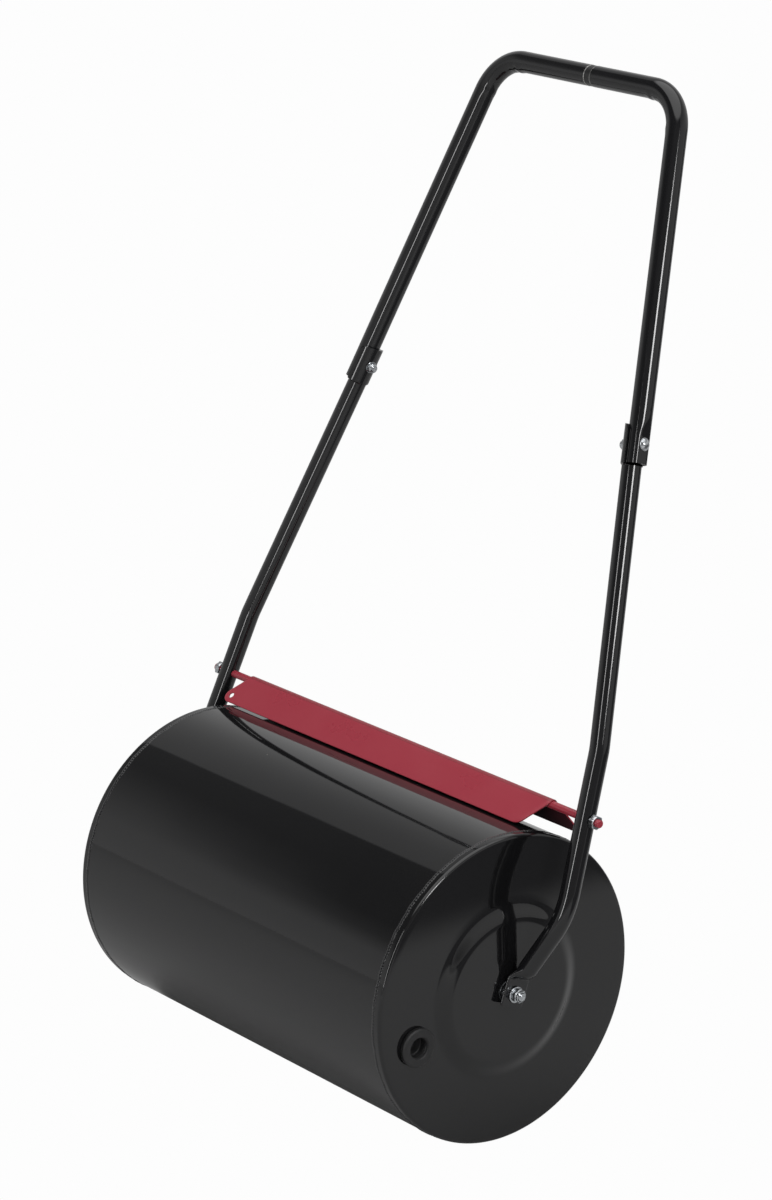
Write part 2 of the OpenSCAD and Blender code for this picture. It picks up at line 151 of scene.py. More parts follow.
def make_piece(name: str, patches: list[Patch], finishes: list[bpy.types.Material],
               crease: float = 35.0) -> bpy.types.Object:
    """Join patches into one closed, smooth-shaded mesh.

    Points that meet are merged, and the faces are turned outwards afterwards, so a mirrored
    shape comes out right.

    Args:
        name: Name of the piece.
        patches: Its surfaces, in millimetres.
        finishes: Its materials, in the order that the patches number them.
        crease: Angle in degrees past which an edge stays sharp.

    Returns:
        The new object, at the origin, with its place in its mesh.
    """
    points = np.concatenate([p.points.reshape(-1, 3) for p in patches]) * MM
    starts = np.cumsum([0] + [p.points.shape[0] * p.points.shape[1] for p in patches])
    faces = [p.faces(int(start)) for p, start in zip(patches, starts)]
    mesh = bpy.data.meshes.new(name)
    mesh.from_pydata(points, [], np.concatenate(faces))
    mesh.polygons.foreach_set(
        "material_index", np.concatenate([np.full(len(f), p.finish) for f, p in zip(faces, patches)]))
    for finish in finishes:
        mesh.materials.append(finish)
    work = bmesh.new()
    work.from_mesh(mesh)
    bmesh.ops.remove_doubles(work, verts=work.verts, dist=SEAM)
    bmesh.ops.recalc_face_normals(work, faces=work.faces)
    work.to_mesh(mesh)
    work.free()
    mesh.polygons.foreach_set("use_smooth", np.ones(len(mesh.polygons), bool))
    mesh.set_sharp_from_angle(angle=math.radians(crease))
    piece = bpy.data.objects.new(name, mesh)
    bpy.context.scene.collection.objects.link(piece)
    return piece


def fit_piece(piece: bpy.types.Object, body: Body, slot: Slot, *nodes: str) -> bpy.types.Object:
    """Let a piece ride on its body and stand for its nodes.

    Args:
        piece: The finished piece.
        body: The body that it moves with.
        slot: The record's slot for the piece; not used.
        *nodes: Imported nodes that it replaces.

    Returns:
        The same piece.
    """
    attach(piece, body.value)
    if nodes:
        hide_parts(*nodes)
    LOG.info("%s on %s: %d faces", piece.name, body.value, len(piece.data.polygons))
    return piece


def to_side(patches: list[Patch], side: Side) -> list[Patch]:
    """Mirror patches that were worked out for the right-hand end, where the side asks for it."""
    return [Patch(p.points * (side.value, 1, 1), p.ring, p.finish) for p in patches]


def turned(profile: Array, axes: Axes, count: int = 72, finish: int = 0,
           start: float = 0.0, limit: Array | None = None) -> Patch:
    """Carry a profile round a frame's first axis, as a lathe does.

    A point is its distance along the axis, and its radius times the cosine and sine of the
    angle. Where a limit is given, the radius is the smaller of the profile's and the limit's.

    Args:
        profile: Array of (along, radius) rows in millimetres.
        axes: The frame to turn in.
        count: Number of steps round.
        finish: Which finish the faces take.
        start: Angle of the first column in radians.
        limit: Largest radius for each column, such as a hexagon's flats.

    Returns:
        The turned surface.
    """
    profile = np.asarray(profile, float)
    angle = start + np.arange(count) * TAU / count
    radius = np.repeat(profile[:, 1:2], count, axis=1)
    if limit is not None:
        radius = np.minimum(radius, limit[None, :])
    along = np.repeat(profile[:, 0:1], count, axis=1)
    local = np.stack([along, radius * np.cos(angle), radius * np.sin(angle)], axis=-1)
    return Patch(axes.place(local), True, finish)


def threaded(start: float, stop: float, radius: float, pitch: float, axes: Axes,
             depth: float | None = None, count: int = 36, finish: int = 0) -> Patch:
    """A screw thread's surface between two places on an axis.

    The radius falls by the thread's depth along a triangle wave of the distance less the share
    of a turn, so that its crests climb one pitch for each turn.

    Args:
        start: Where the thread begins along the axis, in millimetres.
        stop: Where it ends.
        radius: Radius over the crests.
        pitch: Distance from crest to crest.
        axes: The frame to turn in.
        depth: Depth of the thread; 0.61 of the pitch where not given.
        count: Number of steps round.
        finish: Which finish the faces take.

    Returns:
        The threaded surface.
    """
    depth = 0.61 * pitch if depth is None else depth
    rows = max(3, int(abs(stop - start) / pitch * 8) + 1)
    along = np.linspace(start, stop, rows)[:, None]
    angle = (np.arange(count) * TAU / count)[None, :]
    phase = (along / pitch - angle / TAU) % 1.0
    fade = smooth(np.minimum(np.abs(along - start), np.abs(stop - along)) / (0.6 * pitch))
    local_radius = radius - depth * np.abs(2.0 * phase - 1.0) * fade
    local = np.stack([along + 0 * angle, local_radius * np.cos(angle), local_radius * np.sin(angle)], -1)
    return Patch(axes.place(local), True, finish)


def hexagon(flats: float, count: int = 72) -> Array:
    """Radius of a hexagon at each step round: half the width across flats over the cosine of the
    angle from the middle of the nearest flat."""
    angle = np.arange(count) * TAU / count
    return flats / 2.0 / np.cos((angle + math.pi / 6) % (math.pi / 3) - math.pi / 6)


def round_corner(first: tuple[float, float], corner: tuple[float, float], last: tuple[float, float],
                 radius: float, steps: int = 5) -> list[tuple[float, float]]:
    """Points of an arc that rounds off a right-angled corner of a profile.

    Args:
        first: A point on the straight before the corner.
        corner: The sharp corner.
        last: A point on the straight after it.
        radius: Radius of the rounding.
        steps: Number of steps in the arc.

    Returns:
        The arc's points, from the first straight to the last.
    """
    before = np.subtract(first, corner) / np.linalg.norm(np.subtract(first, corner))
    after = np.subtract(last, corner) / np.linalg.norm(np.subtract(last, corner))
    angle = np.linspace(0.0, math.pi / 2, steps + 1)[:, None]
    arc = np.asarray(corner) + radius * (before * (1 - np.sin(angle)) + after * (1 - np.cos(angle)))
    return [tuple(p) for p in arc]


# ---------------------------------------------------------------- finishes


def linear(code: str) -> tuple[float, float, float, float]:
    """Turn an sRGB hex colour into linear red, green, blue and alpha."""
    parts = [int(code[i:i + 2], 16) / 255.0 for i in (1, 3, 5)]
    red, green, blue = (c / 12.92 if c <= 0.04045 else ((c + 0.055) / 1.055) ** 2.4 for c in parts)
    return red, green, blue, 1.0


def per_metre(size_mm: float) -> float:
    """The scale of a pattern whose cells are that many millimetres across."""
    return 1.0 / (size_mm * MM)


def add(tree: bpy.types.NodeTree, kind: str, settings: dict | None = None,
        links: dict | None = None) -> bpy.types.Node:
    """Add a node with its settings and links.

    Args:
        tree: The node tree.
        kind: The node's type name.
        settings: Values by input name or number, or by property name where no input has it.
        links: Output sockets by input name or number.

    Returns:
        The new node.
    """
    node = tree.nodes.new(kind)
    properties = {k: v for k, v in (settings or {}).items() if isinstance(k, str) and k not in node.inputs}
    for key, value in properties.items():
        setattr(node, key, value)
    for key, value in (settings or {}).items():
        if key not in properties:
            node.inputs[key].default_value = value
    for key, socket in (links or {}).items():
        tree.links.new(socket, node.inputs[key])
    return node


def new_material(name: str) -> tuple[bpy.types.Material, bpy.types.NodeTree, bpy.types.NodeSocket]:
    """Start a material and give its node tree and its Object coordinates."""
    material = bpy.data.materials.new(name)
    material.use_nodes = True
    tree = material.node_tree
    tree.nodes.clear()
    return material, tree, add(tree, "ShaderNodeTexCoord").outputs["Object"]


def mixed(tree: bpy.types.NodeTree, share: bpy.types.NodeSocket, first: str, second: str) -> bpy.types.Node:
    """Mix two hex colours by a share; the node's third output is the mixture."""
    return add(tree, "ShaderNodeMix", {"data_type": "RGBA", 6: linear(first), 7: linear(second)}, {0: share})


def close_material(tree: bpy.types.NodeTree, colour: bpy.types.NodeSocket, rough: bpy.types.NodeSocket,
                   relief: bpy.types.Node, height_mm: float, settings: dict) -> None:
    """Give a material its fine relief, its shader and its output.

    Args:
        tree: The material's node tree.
        colour: Its colour.
        rough: Its roughness.
        relief: The noise that its surface rises and falls with.
        height_mm: How far it does so.
        settings: Constant values for the shader.
    """
    bump = add(tree, "ShaderNodeBump", {"Strength": 1.0, "Distance": height_mm * MM},
               {"Height": relief.outputs["Fac"]})
    shader = add(tree, "ShaderNodeBsdfPrincipled", settings,
                 {"Base Color": colour, "Roughness": rough, "Normal": bump.outputs["Normal"]})
    add(tree, "ShaderNodeOutputMaterial", {}, {"Surface": shader.outputs[0]})


@dataclass(frozen=True)
class Paint:
    """Stoved or powder-coated paint over steel.

    Baked paint flows out to a deep gloss with a faint orange peel, and handling leaves wipe
    marks in the gloss and a few grains of dust.

    Attributes:
        name: Name of the material.
        colour: The paint's colour.
        light: The same colour where the film is thin.
        rough: Roughness of the gloss.
        ior: Refractive index of the binder.
        peel_mm: Distance from swell to swell of the orange peel.
        peel_height_mm: Height of those swells.
        wipe_mm: Width of the wipe marks.
        dust_mm: Distance between grains of dust.
        grain_mm: Size of a grain; the real ones are finer, and are drawn coarse enough to show.
    """

    name: str
    colour: str
    light: str
    rough: float
    ior: float = 1.5
    peel_mm: float = 2.2
    peel_height_mm: float = 0.004
    wipe_mm: float = 60.0
    dust_mm: float = 42.0
    grain_mm: float = 0.55

    def make(self) -> bpy.types.Material:
        """Build the material.

        Returns:
            The finished material.
        """
        material, tree, place = new_material(self.name)
        peel = add(tree, "ShaderNodeTexNoise", {"Scale": per_metre(self.peel_mm), "Detail": 2.0,
                                                "Roughness": 0.55}, {"Vector": place})
        wipe = add(tree, "ShaderNodeTexNoise", {"Scale": per_metre(self.wipe_mm), "Detail": 4.0,
                                                "Roughness": 0.5}, {"Vector": place})
        grain = add(tree, "ShaderNodeTexVoronoi", {"Scale": per_metre(self.dust_mm), "Randomness": 1.0},
                    {"Vector": place})
        size = self.grain_mm / self.dust_mm
        near = add(tree, "ShaderNodeMapRange", {"From Min": size, "From Max": 0.55 * size},
                   {"Value": grain.outputs["Distance"]})
        seen = add(tree, "ShaderNodeSeparateColor", {}, {"Color": grain.outputs["Color"]})
        some = add(tree, "ShaderNodeMath", {"operation": "GREATER_THAN", 1: 0.45}, {0: seen.outputs["Red"]})
        dust = add(tree, "ShaderNodeMath", {"operation": "MULTIPLY"},
                   {0: near.outputs["Result"], 1: some.outputs[0]})
        film = mixed(tree, wipe.outputs["Fac"], self.colour, self.light)
        colour = add(tree, "ShaderNodeMix", {"data_type": "RGBA", 7: linear(DUST)},
                     {0: dust.outputs[0], 6: film.outputs[2]})
        worn = add(tree, "ShaderNodeMapRange",
                   {"From Min": 0.3, "From Max": 0.75,
                    "To Min": 0.9 * self.rough, "To Max": 1.12 * self.rough},
                   {"Value": wipe.outputs["Fac"]})
        rough = add(tree, "ShaderNodeMath", {"operation": "MULTIPLY_ADD", 1: 0.5, "use_clamp": True},
                    {0: dust.outputs[0], 2: worn.outputs["Result"]})
        close_material(tree, colour.outputs[2], rough.outputs[0], peel, self.peel_height_mm,
                       {"IOR": self.ior})
        return material


@dataclass(frozen=True)
class Metal:
    """Bare or plated steel.

    Zinc plating is a bright, slightly blue-grey film that clouds in patches; sheared and welded
    steel is darker, streaked and partly tinted by heat.

    Attributes:
        name: Name of the material.
        bright: Colour of the clean metal.
        dull: Colour of its clouded patches.
        rough: Roughness of the clean metal.
        rough_dull: Roughness of the patches.
        cloud_mm: Size of the patches.
        tool_mm: Distance between the tool marks.
        tool_height_mm: Height of the tool marks.
    """

    name: str
    bright: str
    dull: str
    rough: float
    rough_dull: float
    cloud_mm: float = 3.0
    tool_mm: float = 0.5
    tool_height_mm: float = 0.006

    def make(self) -> bpy.types.Material:
        """Build the material.

        Returns:
            The finished material.
        """
        material, tree, place = new_material(self.name)
        cloud = add(tree, "ShaderNodeTexNoise", {"Scale": per_metre(self.cloud_mm), "Detail": 5.0,
                                                 "Roughness": 0.65}, {"Vector": place})
        share = add(tree, "ShaderNodeMapRange", {"From Min": 0.42, "From Max": 0.68},
                    {"Value": cloud.outputs["Fac"]})
        colour = mixed(tree, share.outputs["Result"], self.bright, self.dull)
        rough = add(tree, "ShaderNodeMapRange", {"To Min": self.rough, "To Max": self.rough_dull},
                    {"Value": share.outputs["Result"]})
        marks = add(tree, "ShaderNodeTexNoise", {"Scale": per_metre(self.tool_mm), "Detail": 2.0},
                    {"Vector": place})
        close_material(tree, colour.outputs[2], rough.outputs[0], marks, self.tool_height_mm,
                       {"Metallic": 1.0})
        return material


@dataclass(frozen=True)
class Moulded:
    """Moulded rubber or plastic.

    The mould's spark-eroded wall leaves a fine even grain that scatters the light, and rubber
    carries a pale bloom where it is handled.

    Attributes:
        name: Name of the material.
        colour: Colour of the body.
        bloom: Colour of its bloom.
        rough: Roughness of the skin.
        ior: Refractive index.
        grain_mm: Size of the grain.
        grain_height_mm: Height of the grain.
        bloom_mm: Size of the bloom's patches.
    """

    name: str
    colour: str
    bloom: str
    rough: float
    ior: float = 1.5
    grain_mm: float = 0.6
    grain_height_mm: float = 0.02
    bloom_mm: float = 9.0

    def make(self) -> bpy.types.Material:
        """Build the material.

        Returns:
            The finished material.
        """
        material, tree, place = new_material(self.name)
        grain = add(tree, "ShaderNodeTexNoise", {"Scale": per_metre(self.grain_mm), "Detail": 3.0},
                    {"Vector": place})
        bloom = add(tree, "ShaderNodeTexNoise", {"Scale": per_metre(self.bloom_mm), "Detail": 4.0},
                    {"Vector": place})
        share = add(tree, "ShaderNodeMapRange", {"From Min": 0.45, "From Max": 0.8, "To Max": 0.8},
                    {"Value": bloom.outputs["Fac"]})
        colour = mixed(tree, share.outputs["Result"], self.colour, self.bloom)
        rough = add(tree, "ShaderNodeMapRange", {"To Min": 0.85 * self.rough, "To Max": 1.15 * self.rough},
                    {"Value": grain.outputs["Fac"]})
        close_material(tree, colour.outputs[2], rough.outputs[0], grain, self.grain_height_mm,
                       {"IOR": self.ior})
        return material


@dataclass
class Finishes:
    """Every finish on the roller, built once."""

    drum: bpy.types.Material = field(default_factory=lambda: Paint(
        "black_stoving_enamel", "#101011", "#131314", 0.06, peel_height_mm=0.003).make())
    weld: bpy.types.Material = field(default_factory=lambda: Paint(
        "enamel_over_weld", "#101011", "#18181a", 0.07, peel_mm=1.5, peel_height_mm=0.12, wipe_mm=12.0,
        dust_mm=14.0, grain_mm=0.5).make())
    tube: bpy.types.Material = field(default_factory=lambda: Paint(
        "black_powder_coat", "#101011", "#151517", 0.08, peel_mm=1.6, wipe_mm=35.0, dust_mm=30.0,
        grain_mm=0.4).make())
    red: bpy.types.Material = field(default_factory=lambda: Paint(
        "red_powder_coat", "#982f3d", "#9b323f", 0.3, peel_mm=1.4, peel_height_mm=0.006,
        wipe_mm=45.0, dust_mm=36.0, grain_mm=0.4).make())
    # Painted shade: the fold arc is coloured a darker red than the flanges, to stand in for the shade along
    # the bend.
    fold: bpy.types.Material = field(default_factory=lambda: Paint(
        "red_powder_coat_painted_fold_shade", "#82202c", "#882531", 0.36, peel_mm=1.4, wipe_mm=45.0,
         dust_mm=36.0,
        grain_mm=0.4).make())
    # Painted shade: the sheet's other face is coloured a dark red, so that the unlit underside and its
    # reflection in the drum read dark.
    inside: bpy.types.Material = field(default_factory=lambda: Paint(
        "red_powder_coat_painted_underside_shade", "#34121a", "#3d161e", 0.45, peel_mm=1.4, wipe_mm=20.0, dust_mm=30.0,
        grain_mm=0.4).make())
    zinc: bpy.types.Material = field(default_factory=lambda: Metal(
        "bright_zinc_plating", "#c2c5c8", "#8c9093", 0.16, 0.38).make())
    cut: bpy.types.Material = field(default_factory=lambda: Metal(
        "saw_cut_steel", "#b4b4b2", "#7d7a76", 0.35, 0.55, cloud_mm=1.5).make())
    steel: bpy.types.Material = field(default_factory=lambda: Metal(
        "welded_mild_steel", "#6e6c6a", "#463c34", 0.45, 0.65, cloud_mm=12.0, tool_mm=1.5).make())
    rubber: bpy.types.Material = field(default_factory=lambda: Moulded(
        "moulded_rubber", "#101011", "#1d1d1e", 0.52).make())
    connector: bpy.types.Material = field(default_factory=lambda: Moulded(
        "moulded_polyethylene", "#131314", "#1c1c1d", 0.36, grain_mm=0.4, grain_height_mm=0.008).make())
    nylon: bpy.types.Material = field(default_factory=lambda: Moulded(
        "natural_nylon", "#d9d4c6", "#c4bca8", 0.42, 1.53, grain_height_mm=0.006).make())
    lock_ring: bpy.types.Material = field(default_factory=lambda: Moulded(
        "nylon_lock_ring", "#39403f", "#2a2e2e", 0.45, 1.53, grain_height_mm=0.006).make())


# ---------------------------------------------------------------- drum


@dataclass
class Drum:
    """The rolled shell, its two pressed end caps and the welds between them."""

    finishes: Finishes
    radius: float = 160.0
    sheet: float = 1.5
    shell_x: float = 240.0
    cap_x: float = 250.0
    crown_x: float = 256.0
    bend: float = 3.4
    step_outer: float = 91.0
    step_inner: float = 74.0
    axle: float = 4.0
    hole: float = 15.5
    hole_at: tuple[float, float] = (-114.395, -28.946)
    around: int = 240
    hole_steps: int = 12
    bead_width: float = 4.4
    bead_height: float = 0.8
    bead_pitch: float = 3.1

    @property
    def axes(self) -> Axes:
        """The axle's frame, with its first axis along X."""
        return Axes((0.0, 0.0, self.radius))

    @property
    def start(self) -> float:
        """Angle of the first column, through the middle of the filler hole."""
        return math.atan2(self.hole_at[1], self.hole_at[0])

    def shell(self) -> bpy.types.Object:
        """Build the rolled shell.

        Outer radius is the nominal one plus three slow waves of a few hundredths of a millimetre
        that the rolls leave, and the inner wall follows it one sheet further in.

        Returns:
            The shell.
        """
        along = np.linspace(-self.shell_x, self.shell_x, 97)[:, None]
        count = 360
        angle = (np.arange(count) * TAU / count)[None, :]
        wave = (0.018 * np.sin(7 * angle + along / 61.0) * np.cos(along / 83.0)
                + 0.010 * np.sin(17 * angle - along / 37.0) + 0.012 * np.cos(along / 19.0 + 3 * angle))
        fade = smooth((self.shell_x - np.abs(along)) / 20.0)
        outer = self.radius + wave * fade
        surface = [np.stack([along + 0 * angle, r * np.cos(angle), r * np.sin(angle)], -1)
                   for r in (outer, outer - self.sheet)]
        rims = [np.stack([surface[0][i], surface[1][i]]) for i in (0, -1)]
        patches = [Patch(self.axes.place(s)) for s in surface + rims]
        return fit_piece(make_piece("rolled_shell", patches, [self.finishes.drum]),
                         Body.DRUM, Slot.DRUM, "drum_shell")

    def cap_line(self, depth: float) -> tuple[Array, Array]:
        """Half section of the cap's sheet at a depth under its outer face.

        The skirt runs out to a quarter circle, then flat, down the pressed step between two
        blends that follow an S of three squares less two cubes, and across the raised middle.

        Args:
            depth: Distance under the outer face in millimetres.

        Returns:
            The rows (along, radius) from the weld to the flat's outer edge, and those from the
            flat's inner edge to the axle.
        """
        quarter = np.radians(np.linspace(0.0, 90.0, 13))
        bend = np.stack([self.cap_x - self.bend + (self.bend - depth) * np.sin(quarter),
                         self.radius - self.bend + (self.bend - depth) * np.cos(quarter)], -1)
        outside = np.concatenate([[(self.shell_x, self.radius - depth)],
                                  [(self.shell_x + 2.5, self.radius - depth)], bend])
        run = np.linspace(self.step_outer + 2.0, self.step_inner - 2.0, 25)
        share = (self.step_outer + 2.0 - run) / (self.step_outer - self.step_inner + 4.0)
        step = np.stack([self.cap_x - depth + (self.crown_x - self.cap_x) * smooth(share), run], -1)
        crown = np.linspace(self.step_inner - 4.0, self.axle, 12)
        middle = np.stack([np.full(12, self.crown_x - depth), crown], -1)
        return outside, np.concatenate([step, middle])

    def flat(self, along: float) -> tuple[list[Patch], Array]:
        """The cap's flat ring at one depth, with the filler hole in it.

        Away from the hole it is a grid of radius and angle. Within a sector round the hole, the
        rows run in a straight line from the hole's circle to the sector's edge.

        Args:
            along: Distance along the axle in millimetres.

        Returns:
            The patches, and the hole's circle as points of the axle's frame.
        """
        outer, inner = self.radius - self.bend, self.step_outer + 2.0
        level = np.linspace(inner, outer, 11)
        step = TAU / self.around

        def at(radius: Array, column: Array) -> Array:
            """The point at a radius and a column number counted from the hole."""
            angle = self.start + column * step
            radius, angle = np.broadcast_arrays(radius, angle)
            return np.stack([np.full(radius.shape, along),
                             radius * np.cos(angle), radius * np.sin(angle)], -1)

        half = self.hole_steps
        rest = np.arange(half, self.around - half + 1)
        grid = at(level[:, None], rest[None, :])
        across = np.arange(-half, half + 1)
        loop = np.concatenate([at(inner, across), at(level[1:], half),
                               at(outer, across[-2::-1]), at(level[-2:0:-1], -half)])
        centre = np.array([along, *self.hole_at])
        ray = loop - centre
        circle = centre + self.hole * ray / np.linalg.norm(ray, axis=-1, keepdims=True)
        share = np.array([0.0, 0.06, 0.2, 0.45, 0.7, 1.0])[:, None, None]
        fan = circle * (1 - share) + loop * share
        return [Patch(grid, ring=False), Patch(fan)], circle

    def cap(self, side: Side) -> bpy.types.Object:
        """Build one end cap, with the filler hole in the right-hand one.

        Args:
            side: Which end.

        Returns:
            The end cap.
        """
        patches, circles, ends = [], [], []
        for depth in (0.0, self.sheet):
            outside, inside = self.cap_line(depth)
            if side is Side.RIGHT:
                flat, circle = self.flat(self.cap_x - depth)
                patches += [Patch(self.axes.place(p.points), p.ring) for p in flat]
                circles.append(circle)
                rows = [outside, inside]
            else:
                rows = [np.concatenate([outside, inside])]
            # Both depths meet the flat at one radius
            rows[0][-1 if side is Side.RIGHT else len(outside) - 1, 1] = self.radius - self.bend
            patches += [turned(r, self.axes, self.around, start=self.start) for r in rows]
            ends.append((outside[0], inside[-1]))
        patches += [turned(np.array(pair), self.axes, self.around, start=self.start) for pair in zip(*ends)]
        if circles:
            patches.append(Patch(self.axes.place(np.stack(circles))))
        piece = make_piece(f"pressed_cap_{side.word}", to_side(patches, side), [self.finishes.drum])
        return fit_piece(piece, Body.DRUM, Slot.DRUM, f"end_cap_{side.word}")

    def bead(self, side: Side) -> bpy.types.Object:
        """Build the weld bead between the shell and one cap.

        It is an oval carried round the drum. Its height and its place along the axle ripple once
        for each dab of the torch, with slower waves from the welder's pace.

        Args:
            side: Which end.

        Returns:
            The weld bead.
        """
        dabs = round(TAU * self.radius / self.bead_pitch)
        count = dabs * 6
        angle = np.linspace(0.0, TAU, count + 1)[:, None]
        around = (np.arange(10) * TAU / 10)[None, :]
        pace = angle * dabs + 0.9 * np.sin(23 * angle) + 0.6 * np.sin(61 * angle + 1.0)
        ripple = 0.5 + 0.5 * np.cos(pace)
        slow = 0.5 * np.sin(37 * angle + 2.0) + 0.5 * np.sin(89 * angle)
        height = self.bead_height * (0.45 + 0.55 * ripple + 0.2 * slow)
        wander = 0.35 * np.sin(29 * angle) + 0.25 * np.sin(71 * angle + 0.7)
        along = self.shell_x + wander + (self.bead_width / 2 * (0.85 + 0.15 * ripple)) * np.cos(around)
        radius = self.radius - 0.12 + height * np.sin(around)
        local = np.stack([along, radius * np.cos(angle), radius * np.sin(angle)], -1)
        patches = to_side([Patch(self.axes.place(local))], side)
        piece = make_piece(f"weld_bead_{side.word}", patches, [self.finishes.weld], crease=80.0)
        return fit_piece(piece, Body.DRUM, Slot.DRUM)

    def build(self) -> None:
        """Build every piece of the drum."""
        self.shell()
        for side in Side:
            self.cap(side)
            self.bead(side)


@dataclass
class Plug:
    """The rubber plug that is pushed into the filler hole."""

    finishes: Finishes
    centre: tuple[float, float] = (-114.395, 131.054)
    face: float = 250.0
    flange: float = 20.0
    thick: float = 6.0
    stem: float = 15.4
    stem_len: float = 14.0
    recess: float = 11.25
    depth: float = 12.0
    ridges: int = 4

    def build(self) -> bpy.types.Object:
        """Turn the plug: a tapered stem, a round-edged flange and a ridged finger recess.

        The recess's wall steps in by a small ridge, a squared sine, several times on its way down.

        Returns:
            The plug.
        """
        top, base = self.face + self.thick, self.face - self.stem_len
        floor = top - self.depth
        rim = round_corner((self.face, self.flange), (top, self.flange), (top, 0.0), 2.2, 6)
        lip = round_corner((top, self.flange), (top, self.recess), (floor, self.recess), 1.2, 4)
        down = np.linspace(top - 1.4, floor + 0.8, 41)
        phase = (down - top) / (self.depth - 1.0) * math.pi * self.ridges
        wall = self.recess - 0.1 - 0.55 * np.sin(phase) ** 2
        profile = [(base, 0.0), (base, self.stem - 2.4), (base + 0.5, self.stem - 2.0),
                   (base + 3.0, self.stem), (self.face - 0.6, self.stem), (self.face + 0.05, self.stem + 0.4),
                   (self.face + 0.05, self.flange - 0.9), (self.face + 0.7, self.flange - 0.15)]
        profile += rim + lip + list(zip(down, wall))
        profile += [(floor + 0.2, self.recess - 0.8), (floor, self.recess - 1.6), (floor, 4.0),
                    (floor + 0.5, 3.4), (floor + 0.5, 0.0)]
        axes = Axes((0.0, *self.centre))
        piece = make_piece("rubber_plug", [turned(np.array(profile), axes, 96)],
                           [self.finishes.rubber], 50.0)
        return fit_piece(piece, Body.PLUG, Slot.RUBBER, "filler_plug")


# ---------------------------------------------------------------- tubes


@dataclass
class TubeLine:
    """Stations along the middle line of a tube, in the handle's own plane.

    Attributes:
        place: Positions (X, distance up the handle), one row for each station.
        heading: Unit directions of the line there.
    """

    place: Array
    heading: Array

    @property
    def along(self) -> Array:
        """Length of the line up to each station."""
        return np.concatenate([[0.0], np.cumsum(np.linalg.norm(np.diff(self.place, axis=0), axis=1))])

    def joined(self, other: "TubeLine") -> "TubeLine":
        """This line with another one after it, less the station that they share."""
        return TubeLine(np.concatenate([self.place, other.place[1:]]),
                        np.concatenate([self.heading, other.heading[1:]]))

    def part(self, chosen: slice | Array) -> "TubeLine":
        """Some of the line's stations."""
        return TubeLine(self.place[chosen], self.heading[chosen])


def bent_line(points: Array, radius: float, step: float = 1.5) -> TubeLine:
    """Round off the corners of a flat line with arcs that touch both straights.

    An arc starts the radius times the tangent of half the turn before its corner, and its points
    lie the radius to the side of the heading from the arc's middle.

    Args:
        points: Corner points, one row each.
        radius: Middle radius of the bends in millimetres.
        step: Distance between stations.

    Returns:
        The stations.
    """
    legs = np.diff(points, axis=0)
    lengths = np.linalg.norm(legs, axis=1)
    angle = np.arctan2(legs[:, 1], legs[:, 0])
    turn = (np.diff(angle) + math.pi) % TAU - math.pi
    back = radius * np.tan(np.abs(turn) / 2)
    place, heading = [], []
    for i, (leg, length) in enumerate(zip(legs, lengths)):
        first = back[i - 1] if i else 0.0
        last = length - (back[i] if i < len(turn) else 0.0)
        run = np.linspace(first, last, max(2, math.ceil((last - first) / step) + 1))[:, None]
        place.append(points[i] + run * leg / length)
        heading.append(np.repeat(leg[None] / length, len(run), axis=0))
        if i < len(turn):
            side = np.sign(turn[i])
            swing = angle[i] + np.linspace(0, turn[i], math.ceil(radius * abs(turn[i]) / step) + 2)[1:-1]
            left = np.array([-math.sin(angle[i]), math.cos(angle[i])])
            middle = place[-1][-1] + side * radius * left
            place.append(middle + side * radius * np.stack([np.sin(swing), -np.cos(swing)], -1))
            heading.append(np.stack([np.cos(swing), np.sin(swing)], -1))
    return TubeLine(np.concatenate(place), np.concatenate(heading))


